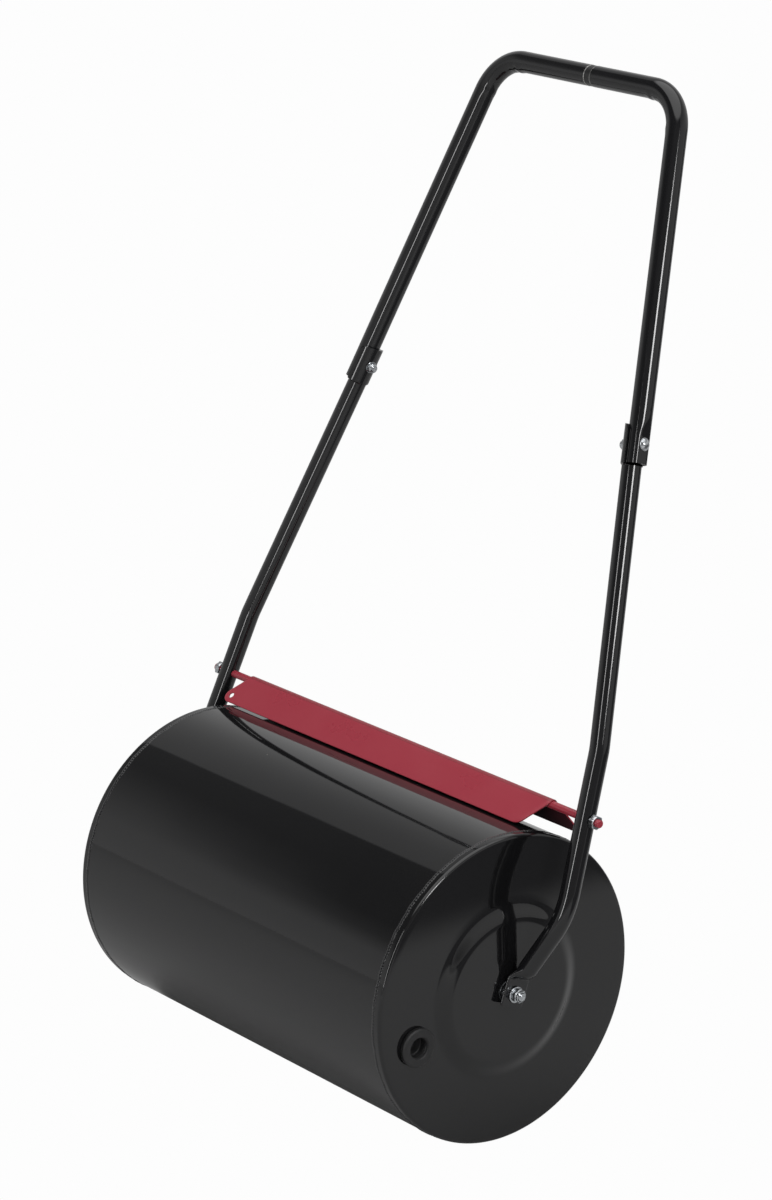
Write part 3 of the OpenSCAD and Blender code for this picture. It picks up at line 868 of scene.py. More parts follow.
@dataclass
class Handle:
    """The tube handle: two lower tubes, two upper halves, and the joints between them."""

    finishes: Finishes
    lean: float = 20.6
    axle_z: float = 160.0
    lower_r: float = 10.0
    upper_r: float = 11.0
    wall: float = 1.5
    tab_x: float = 262.6
    tab_half: float = 1.6
    tab_wide: float = 14.5
    tab_foot: float = 13.0
    tab_top: float = 14.0
    tab_knee: tuple[float, float] = (268.0, 20.0)
    tab_swell: float = 12.0
    flare: tuple[float, float] = (300.5, 91.0)
    knee: tuple[float, float] = (282.0, 255.5)
    lower_bend: float = 85.0
    joint: tuple[float, float] = (216.2, 551.0)
    corner: tuple[float, float] = (137.7, 895.5)
    corner_bend: float = 48.0
    lap: float = 19.5
    cup: float = 4.0
    cup_gap: float = 0.1
    cup_edge: float = 3.5
    press: float = 2.2
    seat: float = 8.5
    flat_above: float = 5.0
    flat_fade: float = 30.0
    collar_x: float = 8.5
    collar_half: float = 4.0
    around: int = 72

    @property
    def plane(self) -> Axes:
        """The leaning plane: X, up the handle, and square to it towards the front."""
        lean = math.radians(self.lean)
        return Axes((0.0, 0.0, self.axle_z), ((1.0, 0.0, 0.0), (0.0, math.sin(lean), math.cos(lean)),
                                              (0.0, -math.cos(lean), math.sin(lean))))

    @property
    def up(self) -> Array:
        """Unit vector up the upper tube, in the handle's plane."""
        run = np.subtract(self.corner, self.joint)
        return run / np.linalg.norm(run)

    @property
    def out(self) -> Array:
        """Unit vector outward, square to the upper tube, in the handle's plane."""
        return np.array([self.up[1], -self.up[0]])

    @property
    def turns(self) -> Array:
        """Angles round a tube; the first points outward in the handle's plane."""
        return np.arange(self.around) * TAU / self.around

    def carried(self, line: TubeLine, section: Array, ring: bool = True, finish: int = 0) -> Patch:
        """Carry a section that may change from station to station along a line.

        A point is the station's place, plus the section's first number times the outward normal,
        with the section's second number as its distance out of the plane.

        Args:
            line: The stations.
            section: Array of shape (stations, steps round, 2), in millimetres.
            ring: True where the section is closed.
            finish: Which finish the faces take.

        Returns:
            The surface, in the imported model's frame.
        """
        normal = np.stack([line.heading[:, 1], -line.heading[:, 0]], -1)
        flat = line.place[:, None, :] + section[..., :1] * normal[:, None, :]
        local = np.concatenate([flat, section[..., 1:]], axis=-1)
        return Patch(self.plane.place(local), ring, finish)

    def flattened(self, wide: Array) -> Array:
        """Section of a tube crushed flat: two straights joined by half circles, with its points
        spaced along its edge as those of the round tube are.

        Args:
            wide: Half width at each station, shape (stations, 1).

        Returns:
            Array of shape (stations, steps round, 2).
        """
        off = np.abs((self.turns + math.pi) % TAU - math.pi)
        share = np.minimum(off, math.pi - off)[None, :] / (math.pi / 2)
        straight = wide - self.tab_half
        run = share * (straight + self.tab_half * math.pi / 2)
        bend = np.clip((run - straight) / self.tab_half, 0.0, math.pi / 2)
        thick = self.tab_half * np.cos(bend) * np.where(off < math.pi / 2 + 1e-9, 1.0, -1.0)
        across = np.minimum(run, straight) + self.tab_half * np.sin(bend)
        return np.stack([thick, across * np.where(np.sin(self.turns) >= 0, 1.0, -1.0)], -1)

    def half_moon(self, share: Array, inner: float, outer: float) -> Array:
        """Section of the cup: an inner and an outer arc about the upper tube, and two edges.

        The outward half of the round tube becomes the inner arc, and its inward half the outer
        one; a twentieth of the way round on each side becomes an edge.

        Args:
            share: Share of the full arcs at each station, shape (stations, 1).
            inner: Radius of the arc that faces the upper tube.
            outer: Radius of the arc behind it.

        Returns:
            Array of shape (stations, steps round, 2), about the lower tube's middle.
        """
        off = np.abs((self.turns + math.pi) % TAU - math.pi)[None, :]
        edge = [math.radians(80.0), math.radians(100.0)]
        limit_in = math.acos(self.cup_edge / inner) * share
        limit_out = math.acos(self.cup_edge / outer) * share
        into = np.clip((off - edge[0]) / (edge[1] - edge[0]), 0.0, 1.0)
        radius = inner + (outer - inner) * into
        sweep_in = limit_in * np.minimum(off / edge[0], 1.0)
        sweep_out = limit_out * np.minimum((math.pi - off) / (math.pi - edge[1]), 1.0)
        sweep = sweep_in * (1 - into) + sweep_out * into
        shift = self.upper_r + self.cup_gap + self.cup - self.lower_r
        side = np.where(np.sin(self.turns) >= 0, 1.0, -1.0)[None, :]
        return np.stack([shift - radius * np.cos(sweep), radius * np.sin(sweep) * side], -1)

    def lower_line(self) -> tuple[TubeLine, float, float]:
        """Middle line of a lower tube from the tab's foot to the top of the cup.

        The stretch where the tab swells is a cubic with the headings of both its ends.

        Returns:
            The stations, and the lengths at which the swell starts and ends.
        """
        knee, flare = np.array(self.tab_knee), np.array(self.flare)
        course = (flare - knee) / np.linalg.norm(flare - knee)
        swell = knee + course * self.tab_swell / 2
        base = np.array([self.tab_x, self.tab_top])
        rise = np.arange(-self.tab_foot, self.tab_top + 0.5, 0.75)
        foot = TubeLine(np.stack([np.full(len(rise), self.tab_x), rise], -1),
                        np.repeat([[0.0, 1.0]], len(rise), axis=0))
        t = np.linspace(0.0, 1.0, 17)[:, None]
        reach = np.linalg.norm(swell - base)
        lead, trail = np.array([0.0, 1.0]) * reach, course * reach
        bend = ((2 * t**3 - 3 * t**2 + 1) * base + (t**3 - 2 * t**2 + t) * lead
                + (3 * t**2 - 2 * t**3) * swell + (t**3 - t**2) * trail)
        slope = ((6 * t**2 - 6 * t) * base + (3 * t**2 - 4 * t + 1) * lead
                 + (6 * t - 6 * t**2) * swell + (3 * t**2 - 2 * t) * trail)
        swell_line = TubeLine(bend, slope / np.linalg.norm(slope, axis=1, keepdims=True))
        low = np.array(self.joint) - self.out * (self.upper_r + self.cup_gap + self.cup - self.lower_r)
        pressed = low - self.up * (self.lap + self.press)
        rest = bent_line(np.array([swell, flare, self.knee, pressed, low - self.up * (self.lap + 1.4),
                                   low - self.up * (self.lap + 0.6), low + self.up * self.lap]),
                         self.lower_bend)
        start = self.tab_foot + self.tab_top
        line = foot.joined(swell_line)
        return line.joined(rest), start, float(line.along[-1])

    def lower_tube(self, side: Side) -> bpy.types.Object:
        """Build one lower tube, crushed flat on the axle and pressed to a cup at the joint.

        Args:
            side: Which side.

        Returns:
            The tube.
        """
        line, start, full = self.lower_line()
        along = line.along[:, None]
        total = float(line.along[-1])
        turn = self.turns[None, :]
        round_tube = np.stack([self.lower_r * np.cos(turn), self.lower_r * np.sin(turn)], -1)
        corner = 2.0
        short = np.clip(corner - along, 0.0, corner)
        wide = self.tab_wide - corner + np.sqrt(corner**2 - short**2)
        swell = smooth((along - start) / (full + 4.0 - start))[..., None]
        section = self.flattened(wide) * (1 - swell) + round_tube * swell
        trim = 6.0
        near = np.clip(trim - (total - along), 0.0, trim)
        share = 1.0 - (trim - np.sqrt(trim**2 - near**2)) / 19.0
        inner, outer = self.upper_r + self.cup_gap, self.upper_r + self.cup_gap + self.cup
        moon = self.half_moon(share, inner, outer)
        moon = (np.roll(moon, 1, axis=1) + 2 * moon + np.roll(moon, -1, axis=1)) / 4
        pressed = smooth((along - (total - 2 * self.lap - self.press)) / (self.press - 0.6))[..., None]
        section = section * (1 - pressed) + moon * pressed
        body = self.carried(line, section)
        foot = section[:1] * (0.0, 1.0)
        middle = (inner + outer) / 2
        top = self.half_moon(share[-1:], middle - 1e-6, middle + 1e-6)
        ends = [self.carried(line.part(slice(0, 1)), foot), self.carried(line.part(slice(-1, None)), top)]
        patches = [body, Patch(np.concatenate([ends[0].points, body.points[:1]])),
                   Patch(np.concatenate([body.points[-1:], ends[1].points]))]
        piece = make_piece(f"lower_leg_{side.word}", to_side(patches, side), [self.finishes.tube])
        return fit_piece(piece, Body.FRAME, Slot.TUBE, f"lower_tube_{side.word}")

    def seated(self, section: Array, along: Array, joint_at: float, depth: float) -> Array:
        """Press the bolt's seat into an upper tube's section.

        The level is flat from the tube's end to just past the bolt's head, and rises along an S
        to beyond the full radius. A point outward of it is brought down to it by a soft minimum.

        Args:
            section: Array of shape (stations, steps round, 2).
            along: Length at each station, shape (stations, 1).
            joint_at: Length at which the bolt sits.
            depth: How far under the outer surface this surface lies.

        Returns:
            The pressed section.
        """
        out, across = section[..., 0], section[..., 1]
        rise = smooth((along - joint_at - self.flat_above) / self.flat_fade)
        level = self.seat + (self.upper_r + 1.2 - self.seat) * rise - depth
        gap, blend = out - level, 0.8
        lowered = level + (gap - np.sqrt(gap**2 + blend**2)) / 2
        pressed = np.where(rise < 1.0, lowered, out)
        return np.stack([np.minimum(pressed, out), across], -1)

    def upper_half(self, side: Side) -> bpy.types.Object:
        """Build one half of the upper handle, from the joint to the middle of the grip bar.

        The radius is the tube's, plus a low swell on the inside of the corner at both its ends
        where the bender gathers the wall.

        Args:
            side: Which side.

        Returns:
            The half handle.
        """
        bar_end = side.value * self.collar_x + self.collar_half
        low = np.array(self.joint) - self.up * self.lap
        line = bent_line(np.array([low, self.corner, (bar_end, self.corner[1])]), self.corner_bend)
        along = line.along[:, None]
        turn = self.turns[None, :]
        bend_turn = math.pi / 2 - math.atan2(-self.up[0], self.up[1])
        back = self.corner_bend * math.tan(bend_turn / 2)
        bend_in = float(np.linalg.norm(np.subtract(self.corner, low))) - back
        bend_out = bend_in + self.corner_bend * bend_turn
        gather = (0.95 * np.exp(-((along - bend_out + 1.0) / 4.5) ** 2)
                  + 0.6 * np.exp(-((along - bend_in - 2.0) / 4.5) ** 2)
                  + 0.4 * np.exp(-((along - bend_out + 11.0) / 3.5) ** 2))
        radius = self.upper_r + gather * smooth(-np.cos(turn) * 1.6 - 0.4)
        outer = np.stack([radius * np.cos(turn), radius * np.sin(turn)], -1)
        bore = self.upper_r - self.wall
        inner = np.broadcast_to(np.stack([bore * np.cos(turn), bore * np.sin(turn)], -1), outer.shape)
        outer = self.seated(outer, along, self.lap, 0.0)
        inner = self.seated(inner, along, self.lap, self.wall)
        total = float(line.along[-1])
        keep = line.along < total - 0.9
        last = line.part(slice(-1, None))
        lip = TubeLine(last.place - last.heading * 0.9, last.heading)
        rim = TubeLine(last.place - last.heading * 0.3, last.heading)
        ring = np.stack([np.cos(turn), np.sin(turn)], -1)
        skin = self.carried(line.part(keep), outer[keep])
        few = np.flatnonzero(line.along < total)[::3]
        hollow = self.carried(line.part(few), inner[few])
        edge = [self.carried(lip, ring * self.upper_r), self.carried(rim, ring * (self.upper_r - 0.03)),
                self.carried(last, ring * (self.upper_r - 0.3)),
                self.carried(last, ring * bore)]
        patches = [skin, hollow,
                   Patch(np.concatenate([skin.points[-1:], edge[0].points])),
                   Patch(np.concatenate([e.points for e in edge]), finish=1),
                   Patch(np.concatenate([edge[3].points, hollow.points[-1:]])),
                   Patch(np.concatenate([hollow.points[:1], skin.points[:1]]))]
        piece = make_piece(f"handle_half_{side.word}", to_side(patches, side),
                           [self.finishes.tube, self.finishes.cut])
        return fit_piece(piece, Body.FRAME, Slot.TUBE, f"handle_{side.word}")

    def connector(self) -> bpy.types.Object:
        """Turn the moulded connector: a collar between the two halves and a spigot in each.

        Returns:
            The connector.
        """
        spigot, collar, bore, reach = 9.4, 10.75, 7.4, 49.0
        half = self.collar_half - 0.02
        profile = [(-reach, bore), (-reach, spigot - 0.5), (0.5 - reach, spigot), (-half, spigot),
                   (-half, collar - 0.3), (0.3 - half, collar), (half - 0.3, collar), (half, collar - 0.3),
                   (half, spigot), (reach - 0.5, spigot), (reach, spigot - 0.5),
                   (reach, bore), (-reach, bore)]
        plane = self.plane
        axes = Axes(tuple(plane.place(np.array([self.collar_x, self.corner[1], 0.0]))))
        piece = make_piece("grip_connector", [turned(np.array(profile), axes)], [self.finishes.connector])
        return fit_piece(piece, Body.FRAME, Slot.CONNECTOR, "handle_connector")

    def joint_axes(self) -> Axes:
        """The joint bolt's frame: outward along the bolt, up the tube, and out of the plane."""
        plane = self.plane
        origin = plane.place(np.array([*self.joint, 0.0]))
        rows = np.array([[*self.out, 0.0], [*self.up, 0.0], [0.0, 0.0, 1.0]]) @ np.array(plane.rows)
        return Axes(tuple(origin), tuple(map(tuple, rows)))

    def joint_bolt(self, side: Side) -> bpy.types.Object:
        """Build the joint's domed bolt.

        Args:
            side: Which side.

        Returns:
            The bolt.
        """
        axes, shank, head, flange = self.joint_axes(), 3.0, 4.3, 6.6
        inner = self.upper_r + self.cup_gap + self.cup
        sphere = 7.2
        rise = np.linspace(self.seat + head, self.seat + 1.0, 11)
        dome = np.sqrt(np.maximum(sphere**2 - (rise - self.seat - head + sphere) ** 2, 0.0))
        profile = list(zip(rise, dome))
        profile += [(self.seat + 0.95, flange - 0.25), (self.seat + 0.7, flange), (self.seat + 0.1, flange),
                    (self.seat, flange - 0.1), (self.seat, shank), (-inner - 0.5, shank)]
        tip = -inner - 7.4
        end = [(tip, shank - 0.1), (tip - 0.5, shank - 0.6), (tip - 0.5, 0.0)]
        patches = [turned(np.array(profile), axes, 36), threaded(-inner - 0.5, tip, shank, 1.0, axes),
                   turned(np.array([(tip, shank), *end]), axes, 36)]
        piece = make_piece(f"domed_bolt_{side.word}", to_side(patches, side),
                           [self.finishes.zinc], 40.0)
        return fit_piece(piece, Body.FRAME, Slot.ZINC, f"joint_bolt_{side.word}")

    def joint_nut(self, side: Side) -> bpy.types.Object:
        """Build the joint's washer and lock nut, on the inner side of the cup.

        Args:
            side: Which side.

        Returns:
            The nut with its washer.
        """
        axes, bore = self.joint_axes(), 3.02
        back = -(self.upper_r + self.cup_gap + self.cup)
        washer = [(back - 0.02, bore), (back - 0.02, 6.0), (back - 0.15, 6.2), (back - 0.95, 6.2),
                  (back - 1.1, 6.0), (back - 1.1, bore), (back - 0.02, bore)]
        nut = lock_nut(axes, back - 1.12, -1.0, 10.0, 5.4, bore)
        patches = [turned(np.array(washer), axes)] + nut
        piece = make_piece(f"joint_lock_nut_{side.word}", to_side(patches, side),
                           [self.finishes.zinc, self.finishes.lock_ring], 30.0)
        return fit_piece(piece, Body.FRAME, Slot.ZINC, f"joint_nut_{side.word}")

    def build(self) -> None:
        """Build every piece of the handle."""
        for side in Side:
            self.lower_tube(side)
            self.upper_half(side)
            self.joint_bolt(side)
            self.joint_nut(side)
        self.connector()


# ---------------------------------------------------------------- hardware


def plain_nut(axes: Axes, start: float, height: float, flats: float, bore: float) -> list[Patch]:
    """A hexagon nut with its corners turned off on both faces.

    The radius at each column is the smaller of the hexagon's and the turned profile's.

    Args:
        axes: Frame with its first axis along the thread.
        start: Where the nut begins along it.
        height: Its height.
        flats: Its width across flats.
        bore: Radius of its bore.

    Returns:
        The nut's surface.
    """
    corner, cone = flats / 2 / math.cos(math.pi / 6), flats / 2 * 0.95
    stop, slope = start + height, (corner - cone) * 0.55
    profile = [(start + 0.4, bore), (start, bore + 0.4), (start, cone), (start + slope, corner),
               (stop - slope, corner), (stop, cone), (stop, bore + 0.4), (stop - 0.4, bore),
               (start + 0.4, bore)]
    return [turned(np.array(profile), axes, 72, limit=hexagon(flats))]


def lock_nut(axes: Axes, start: float, way: float, flats: float, height: float, bore: float) -> list[Patch]:
    """A hexagon lock nut whose round collar is rolled over a plastic ring.

    Args:
        axes: Frame with its first axis along the thread.
        start: Where the nut begins along it.
        way: 1 or -1, the way that its collar faces.
        flats: Its width across flats.
        height: Its whole height.
        bore: Radius of its bore.

    Returns:
        The metal as finish 0 and the plastic ring as finish 1.
    """
    corner, cone, collar = flats / 2 / math.cos(math.pi / 6), flats / 2 * 0.95, flats / 2 * 0.9
    body = height * 0.70
    slope = (corner - cone) * 0.55
    outside = [(0.4, bore), (0.0, bore + 0.4), (0.0, cone), (slope, corner), (body - slope, corner),
               (body, cone), (body + 0.15, collar), (height - 0.9, collar), (height - 0.35, collar - 0.25),
               (height, collar - 0.8), (height - 0.1, collar - 1.15), (height - 0.5, collar - 1.25)]
    ring = [(height - 0.5, collar - 1.25), (height - 0.45, bore + 0.35), (height - 0.7, bore)]
    inside = [(height - 0.7, bore), (0.4, bore)]
    parts = []
    for rows, finish in ((outside, 0), (ring, 1), (inside, 0)):
        rows = np.array(rows) * (way, 1.0) + (start, 0.0)
        parts.append(turned(rows, axes, 72, finish, limit=hexagon(flats)))
    return parts


@dataclass
class AxleFittings:
    """The stub axles' bolts, spacers, washers and lock nuts."""

    finishes: Finishes
    axle_z: float = 160.0
    shank: float = 4.0
    head_x: float = 246.3
    seat_x: float = 251.5
    spacer: tuple[float, float, float] = (256.0, 260.6, 12.0)
    washer: tuple[float, float, float] = (264.6, 266.2, 8.4)
    nut_x: float = 266.2
    nut_height: float = 8.0
    flats: float = 13.0
    tip_x: float = 275.7

    def ring(self, name: str, sizes: tuple[float, float, float], side: Side, node: str) -> None:
        """Build a flat ring with softened edges, such as a washer.

        Args:
            name: Name of the piece.
            sizes: Where it starts and ends along the axle, and its radius.
            side: Which end.
            node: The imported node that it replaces.
        """
        start, stop, radius = sizes
        soft, bore = 0.25, self.shank + 0.02
        profile = [(start, bore), (start, radius - soft), (start + soft, radius), (stop - soft, radius),
                   (stop, radius - soft), (stop, bore), (start, bore)]
        patches = to_side([turned(np.array(profile), Axes((0.0, 0.0, self.axle_z)), 96)], side)
        fit_piece(make_piece(name, patches, [self.finishes.zinc], 50.0), Body.DRUM, Slot.ZINC, node)

    def bolt(self, side: Side) -> None:
        """Build a stub axle: a hexagon bolt from inside the cap with its thread outside.

        Args:
            side: Which end.
        """
        axes = Axes((0.0, 0.0, self.axle_z))
        corner = self.flats / 2 / math.cos(math.pi / 6)
        head = [(self.head_x, 0.0), (self.head_x, corner * 0.84), (self.head_x + 0.6, corner),
                (self.seat_x, corner), (self.seat_x, self.shank)]
        thread_x = self.washer[1] - 1.0
        shaft = [(self.seat_x, self.shank), (thread_x, self.shank)]
        stop = self.tip_x - 0.6
        end = [(stop, self.shank), (self.tip_x, self.shank - 0.7), (self.tip_x, 0.0)]
        patches = [turned(np.array(head), axes, 72, limit=hexagon(self.flats)),
                   turned(np.array(shaft), axes, 36), threaded(thread_x, stop, self.shank, 1.25, axes),
                   turned(np.array(end), axes, 36)]
        piece = make_piece(f"stub_axle_{side.word}", to_side(patches, side), [self.finishes.zinc], 40.0)
        fit_piece(piece, Body.DRUM, Slot.ZINC, f"axle_bolt_{side.word}")

    def build(self) -> None:
        """Build the fittings of both ends."""
        axes = Axes((0.0, 0.0, self.axle_z))
        for side in Side:
            self.bolt(side)
            self.ring(f"turned_spacer_{side.word}", self.spacer, side, f"axle_spacer_{side.word}")
            self.ring(f"flat_washer_{side.word}", self.washer, side, f"axle_washer_{side.word}")
            patches = lock_nut(axes, self.nut_x, 1.0, self.flats, self.nut_height, self.shank + 0.02)
            piece = make_piece(f"axle_lock_nut_{side.word}", to_side(patches, side),
                               [self.finishes.zinc, self.finishes.lock_ring], 30.0)
            fit_piece(piece, Body.DRUM, Slot.ZINC, f"axle_nut_{side.word}")


# ---------------------------------------------------------------- scraper


@dataclass
class Scraper:
    """The folded scraper plate, the rod that it is wrapped over, and the rod's nuts."""

    finishes: Finishes
    rod: float = 4.0
    sheet: float = 1.5
    depth: float = 34.5
    front: float = 50.0
    back: float = 26.0
    fold: float = 490.0
    shift: float = -3.0
    slant: float = 0.46
    ear: float = 8.5
    hole: float = 3.25
    corner: float = 12.0
    flats: float = 13.0
    nut_height: float = 6.4
    split: float = -234.0
    side_steps: int = 6
    long_steps: int = 64

    @property
    def centre(self) -> tuple[float, float]:
        """The rod's Y and Z in millimetres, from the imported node."""
        low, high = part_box("scraper_rod")
        return (low.y + high.y) / 2 / MM, (low.z + high.z) / 2 / MM

    @property
    def nut_x(self) -> float:
        """Inner face of the right-hand nut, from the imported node."""
        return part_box("scraper_nut_right")[0].x / MM

    def side_line(self, start: float, centre: tuple[float, float], radius: float, way: float,
                  down: Array) -> Array:
        """The X of a flange's slanting end: a tangent from the fold's end to a circle, then the
        circle itself.

        Args:
            start: X of the fold's end.
            centre: X and depth of the circle's middle.
            radius: Its radius.
            way: 1 where the flange lies on the low side of this end, -1 on the high side.
            down: Depths from the fold.

        Returns:
            X at each depth.
        """
        run, drop = centre[0] - start, centre[1]
        reach = math.hypot(run, drop)
        angle = math.atan2(drop, run) - way * math.asin(radius / reach)
        length = math.sqrt(reach**2 - radius**2)
        touch = (start + length * math.cos(angle), length * math.sin(angle))
        line = start + down * (touch[0] - start) / touch[1]
        arc = centre[0] + way * np.sqrt(np.maximum(radius**2 - (down - centre[1]) ** 2, 0.0))
        return np.where(down <= touch[1], line, arc)

    def limits(self, down: Array) -> tuple[Array, Array]:
        """Both ends of the front flange at each depth; the back one is the same turned round."""
        half, run = self.fold / 2, self.slant * self.depth
        ear = (-half - run + self.ear + 1.0, self.depth - self.ear)
        round_end = (half - run - 0.9 * self.corner, self.depth - self.corner)
        return (self.side_line(-half, ear, self.ear, -1.0, down),
                self.side_line(half, round_end, self.corner, 1.0, down))

    def plate(self) -> bpy.types.Object:
        """Build the plate as a middle surface with a wall.

        A point of the front flange is the fold's edge plus its depth down the front slope. The
        fold is an arc round the rod, and the back flange runs down the other slope. Near the ear
        the rows run in straight lines from the hole's circle to the sheet's edge.

        Returns:
            The plate.
        """
        y, z = self.centre
        middle = self.rod + 0.05 + self.sheet / 2
        down = self.depth * np.sin(np.linspace(0.0, math.pi / 2, 15))
        slope, rear = math.radians(self.front), math.radians(self.back)

        def on_front(x: Array, depth: Array) -> Array:
            """A point of the front flange at an X and a depth."""
            x, depth = np.broadcast_arrays(x, depth)
            edge = math.pi - slope
            return np.stack([x + self.shift, y + middle * math.cos(edge) - math.sin(slope) * depth,
                             z + middle * math.sin(edge) - math.cos(slope) * depth], -1)

        left, right = self.limits(down)
        wide = np.linspace(0.0, 1.0, self.long_steps + 1)
        main_x = self.split + (right[:, None] - self.split) * wide[None, :]
        main = on_front(main_x, down[:, None])
        few = np.linspace(self.split, left[0], self.side_steps + 1)
        foot = np.linspace(left[-1], self.split, self.side_steps + 1)
        loop = np.concatenate([
            np.stack([few, np.zeros_like(few)], -1), np.stack([left[1:], down[1:]], -1),
            np.stack([foot[1:], np.full(self.side_steps, self.depth)], -1),
            np.stack([np.full(len(down) - 2, self.split), down[-2:0:-1]], -1)])
        hub = np.array([-self.fold / 2 - self.slant * self.depth + self.ear + 0.95, self.depth - self.ear])
        ray = loop - hub
        circle = hub + self.hole * ray / np.linalg.norm(ray, axis=-1, keepdims=True)
        share = np.array([0.0, 0.12, 0.35, 0.65, 1.0])[:, None, None]
        fan_flat = circle * (1 - share) + loop * share
        fan = on_front(fan_flat[..., 0], fan_flat[..., 1])
        columns = np.concatenate([few[::-1], main_x[0, 1:]])
        unit = (columns - columns[0]) / (columns[-1] - columns[0])
        sweep = np.linspace(math.pi - slope, rear, 15)
        fold = np.stack(np.broadcast_arrays(columns[None, :] + self.shift,
                                            (y + middle * np.cos(sweep))[:, None],
                                            (z + middle * np.sin(sweep))[:, None]), -1)
        back_left, back_right = -right, -left
        back_x = back_left[:, None] + (back_right - back_left)[:, None] * unit[None, :]
        drop = down[:, None]
        back = np.stack(np.broadcast_arrays(
            back_x + self.shift, y + middle * math.cos(rear) + math.sin(rear) * drop,
            z + middle * math.sin(rear) - math.cos(rear) * drop), -1)
        # The fold takes the darker red of painted shade.
        patches = [Patch(main, False), Patch(fan), Patch(fold, False, 2), Patch(back, False)]
        piece = make_piece("folded_plate", patches, [self.finishes.red, self.finishes.inside,
                                                     self.finishes.fold, self.finishes.inside], 40.0)
        wall = piece.modifiers.new("sheet", "SOLIDIFY")
        wall.thickness, wall.offset, wall.use_even_offset = self.sheet * MM, 0.0, True
        # The wall's other face takes the dark red of painted shade.
        wall.material_offset = 1
        soft = piece.modifiers.new("deburred", "BEVEL")
        soft.width, soft.segments, soft.limit_method = 0.35 * MM, 2, "ANGLE"
        soft.angle_limit = math.radians(50.0)
        return fit_piece(piece, Body.SCRAPER, Slot.RED, "scraper_plate")

    def bar(self) -> bpy.types.Object:
        """Build the rod, with a painted-over thread at both ends.

        Returns:
            The rod.
        """
        axes = Axes((0.0, *self.centre))
        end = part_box("scraper_rod")[1].x / MM
        thread = self.nut_x - 2.0
        middle = [(-thread, self.rod), (thread, self.rod)]
        patches = [turned(np.array(middle), axes, 36)]
        for side in Side:
            tip = [(end - 0.8, self.rod), (end, self.rod - 0.8), (end, 0.0)]
            part = [threaded(thread, end - 0.8, self.rod, 1.25, axes, 0.35), turned(np.array(tip), axes, 36)]
            patches += to_side(part, side)
        piece = make_piece("threaded_rod", patches, [self.finishes.red], 40.0)
        return fit_piece(piece, Body.SCRAPER, Slot.RED, "scraper_rod")

    def nut(self, side: Side) -> bpy.types.Object:
        """Build one of the rod's nuts.

        Args:
            side: Which end.

        Returns:
            The nut.
        """
        axes = Axes((0.0, *self.centre))
        patches = plain_nut(axes, self.nut_x, self.nut_height, self.flats, self.rod + 0.02)
        piece = make_piece(f"rod_nut_{side.word}", to_side(patches, side), [self.finishes.zinc], 30.0)
        return fit_piece(piece, Body.SCRAPER, Slot.ZINC, f"scraper_nut_{side.word}")

    def build(self) -> None:
        """Build every piece of the scraper."""
        self.plate()
        self.bar()
        for side in Side:
            self.nut(side)


# ---------------------------------------------------------------- carried-over nodes


@dataclass
class HiddenParts:
    """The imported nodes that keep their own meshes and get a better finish."""

    finishes: Finishes

    def build(self) -> None:
        """Put a finish on each carried-over node."""
        chosen = {"filler_socket": self.finishes.drum}
        for side in Side:
            chosen[f"hub_plate_{side.word}"] = self.finishes.steel
            chosen[f"axle_bush_{side.word}"] = self.finishes.nylon
        for name, finish in chosen.items():
            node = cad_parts[name]
            if not node.material_slots:
                node.data.materials.append(finish)
            for slot in node.material_slots:
                slot.material = finish
            LOG.info("%s keeps its mesh", name)


# ---------------------------------------------------------------- studio


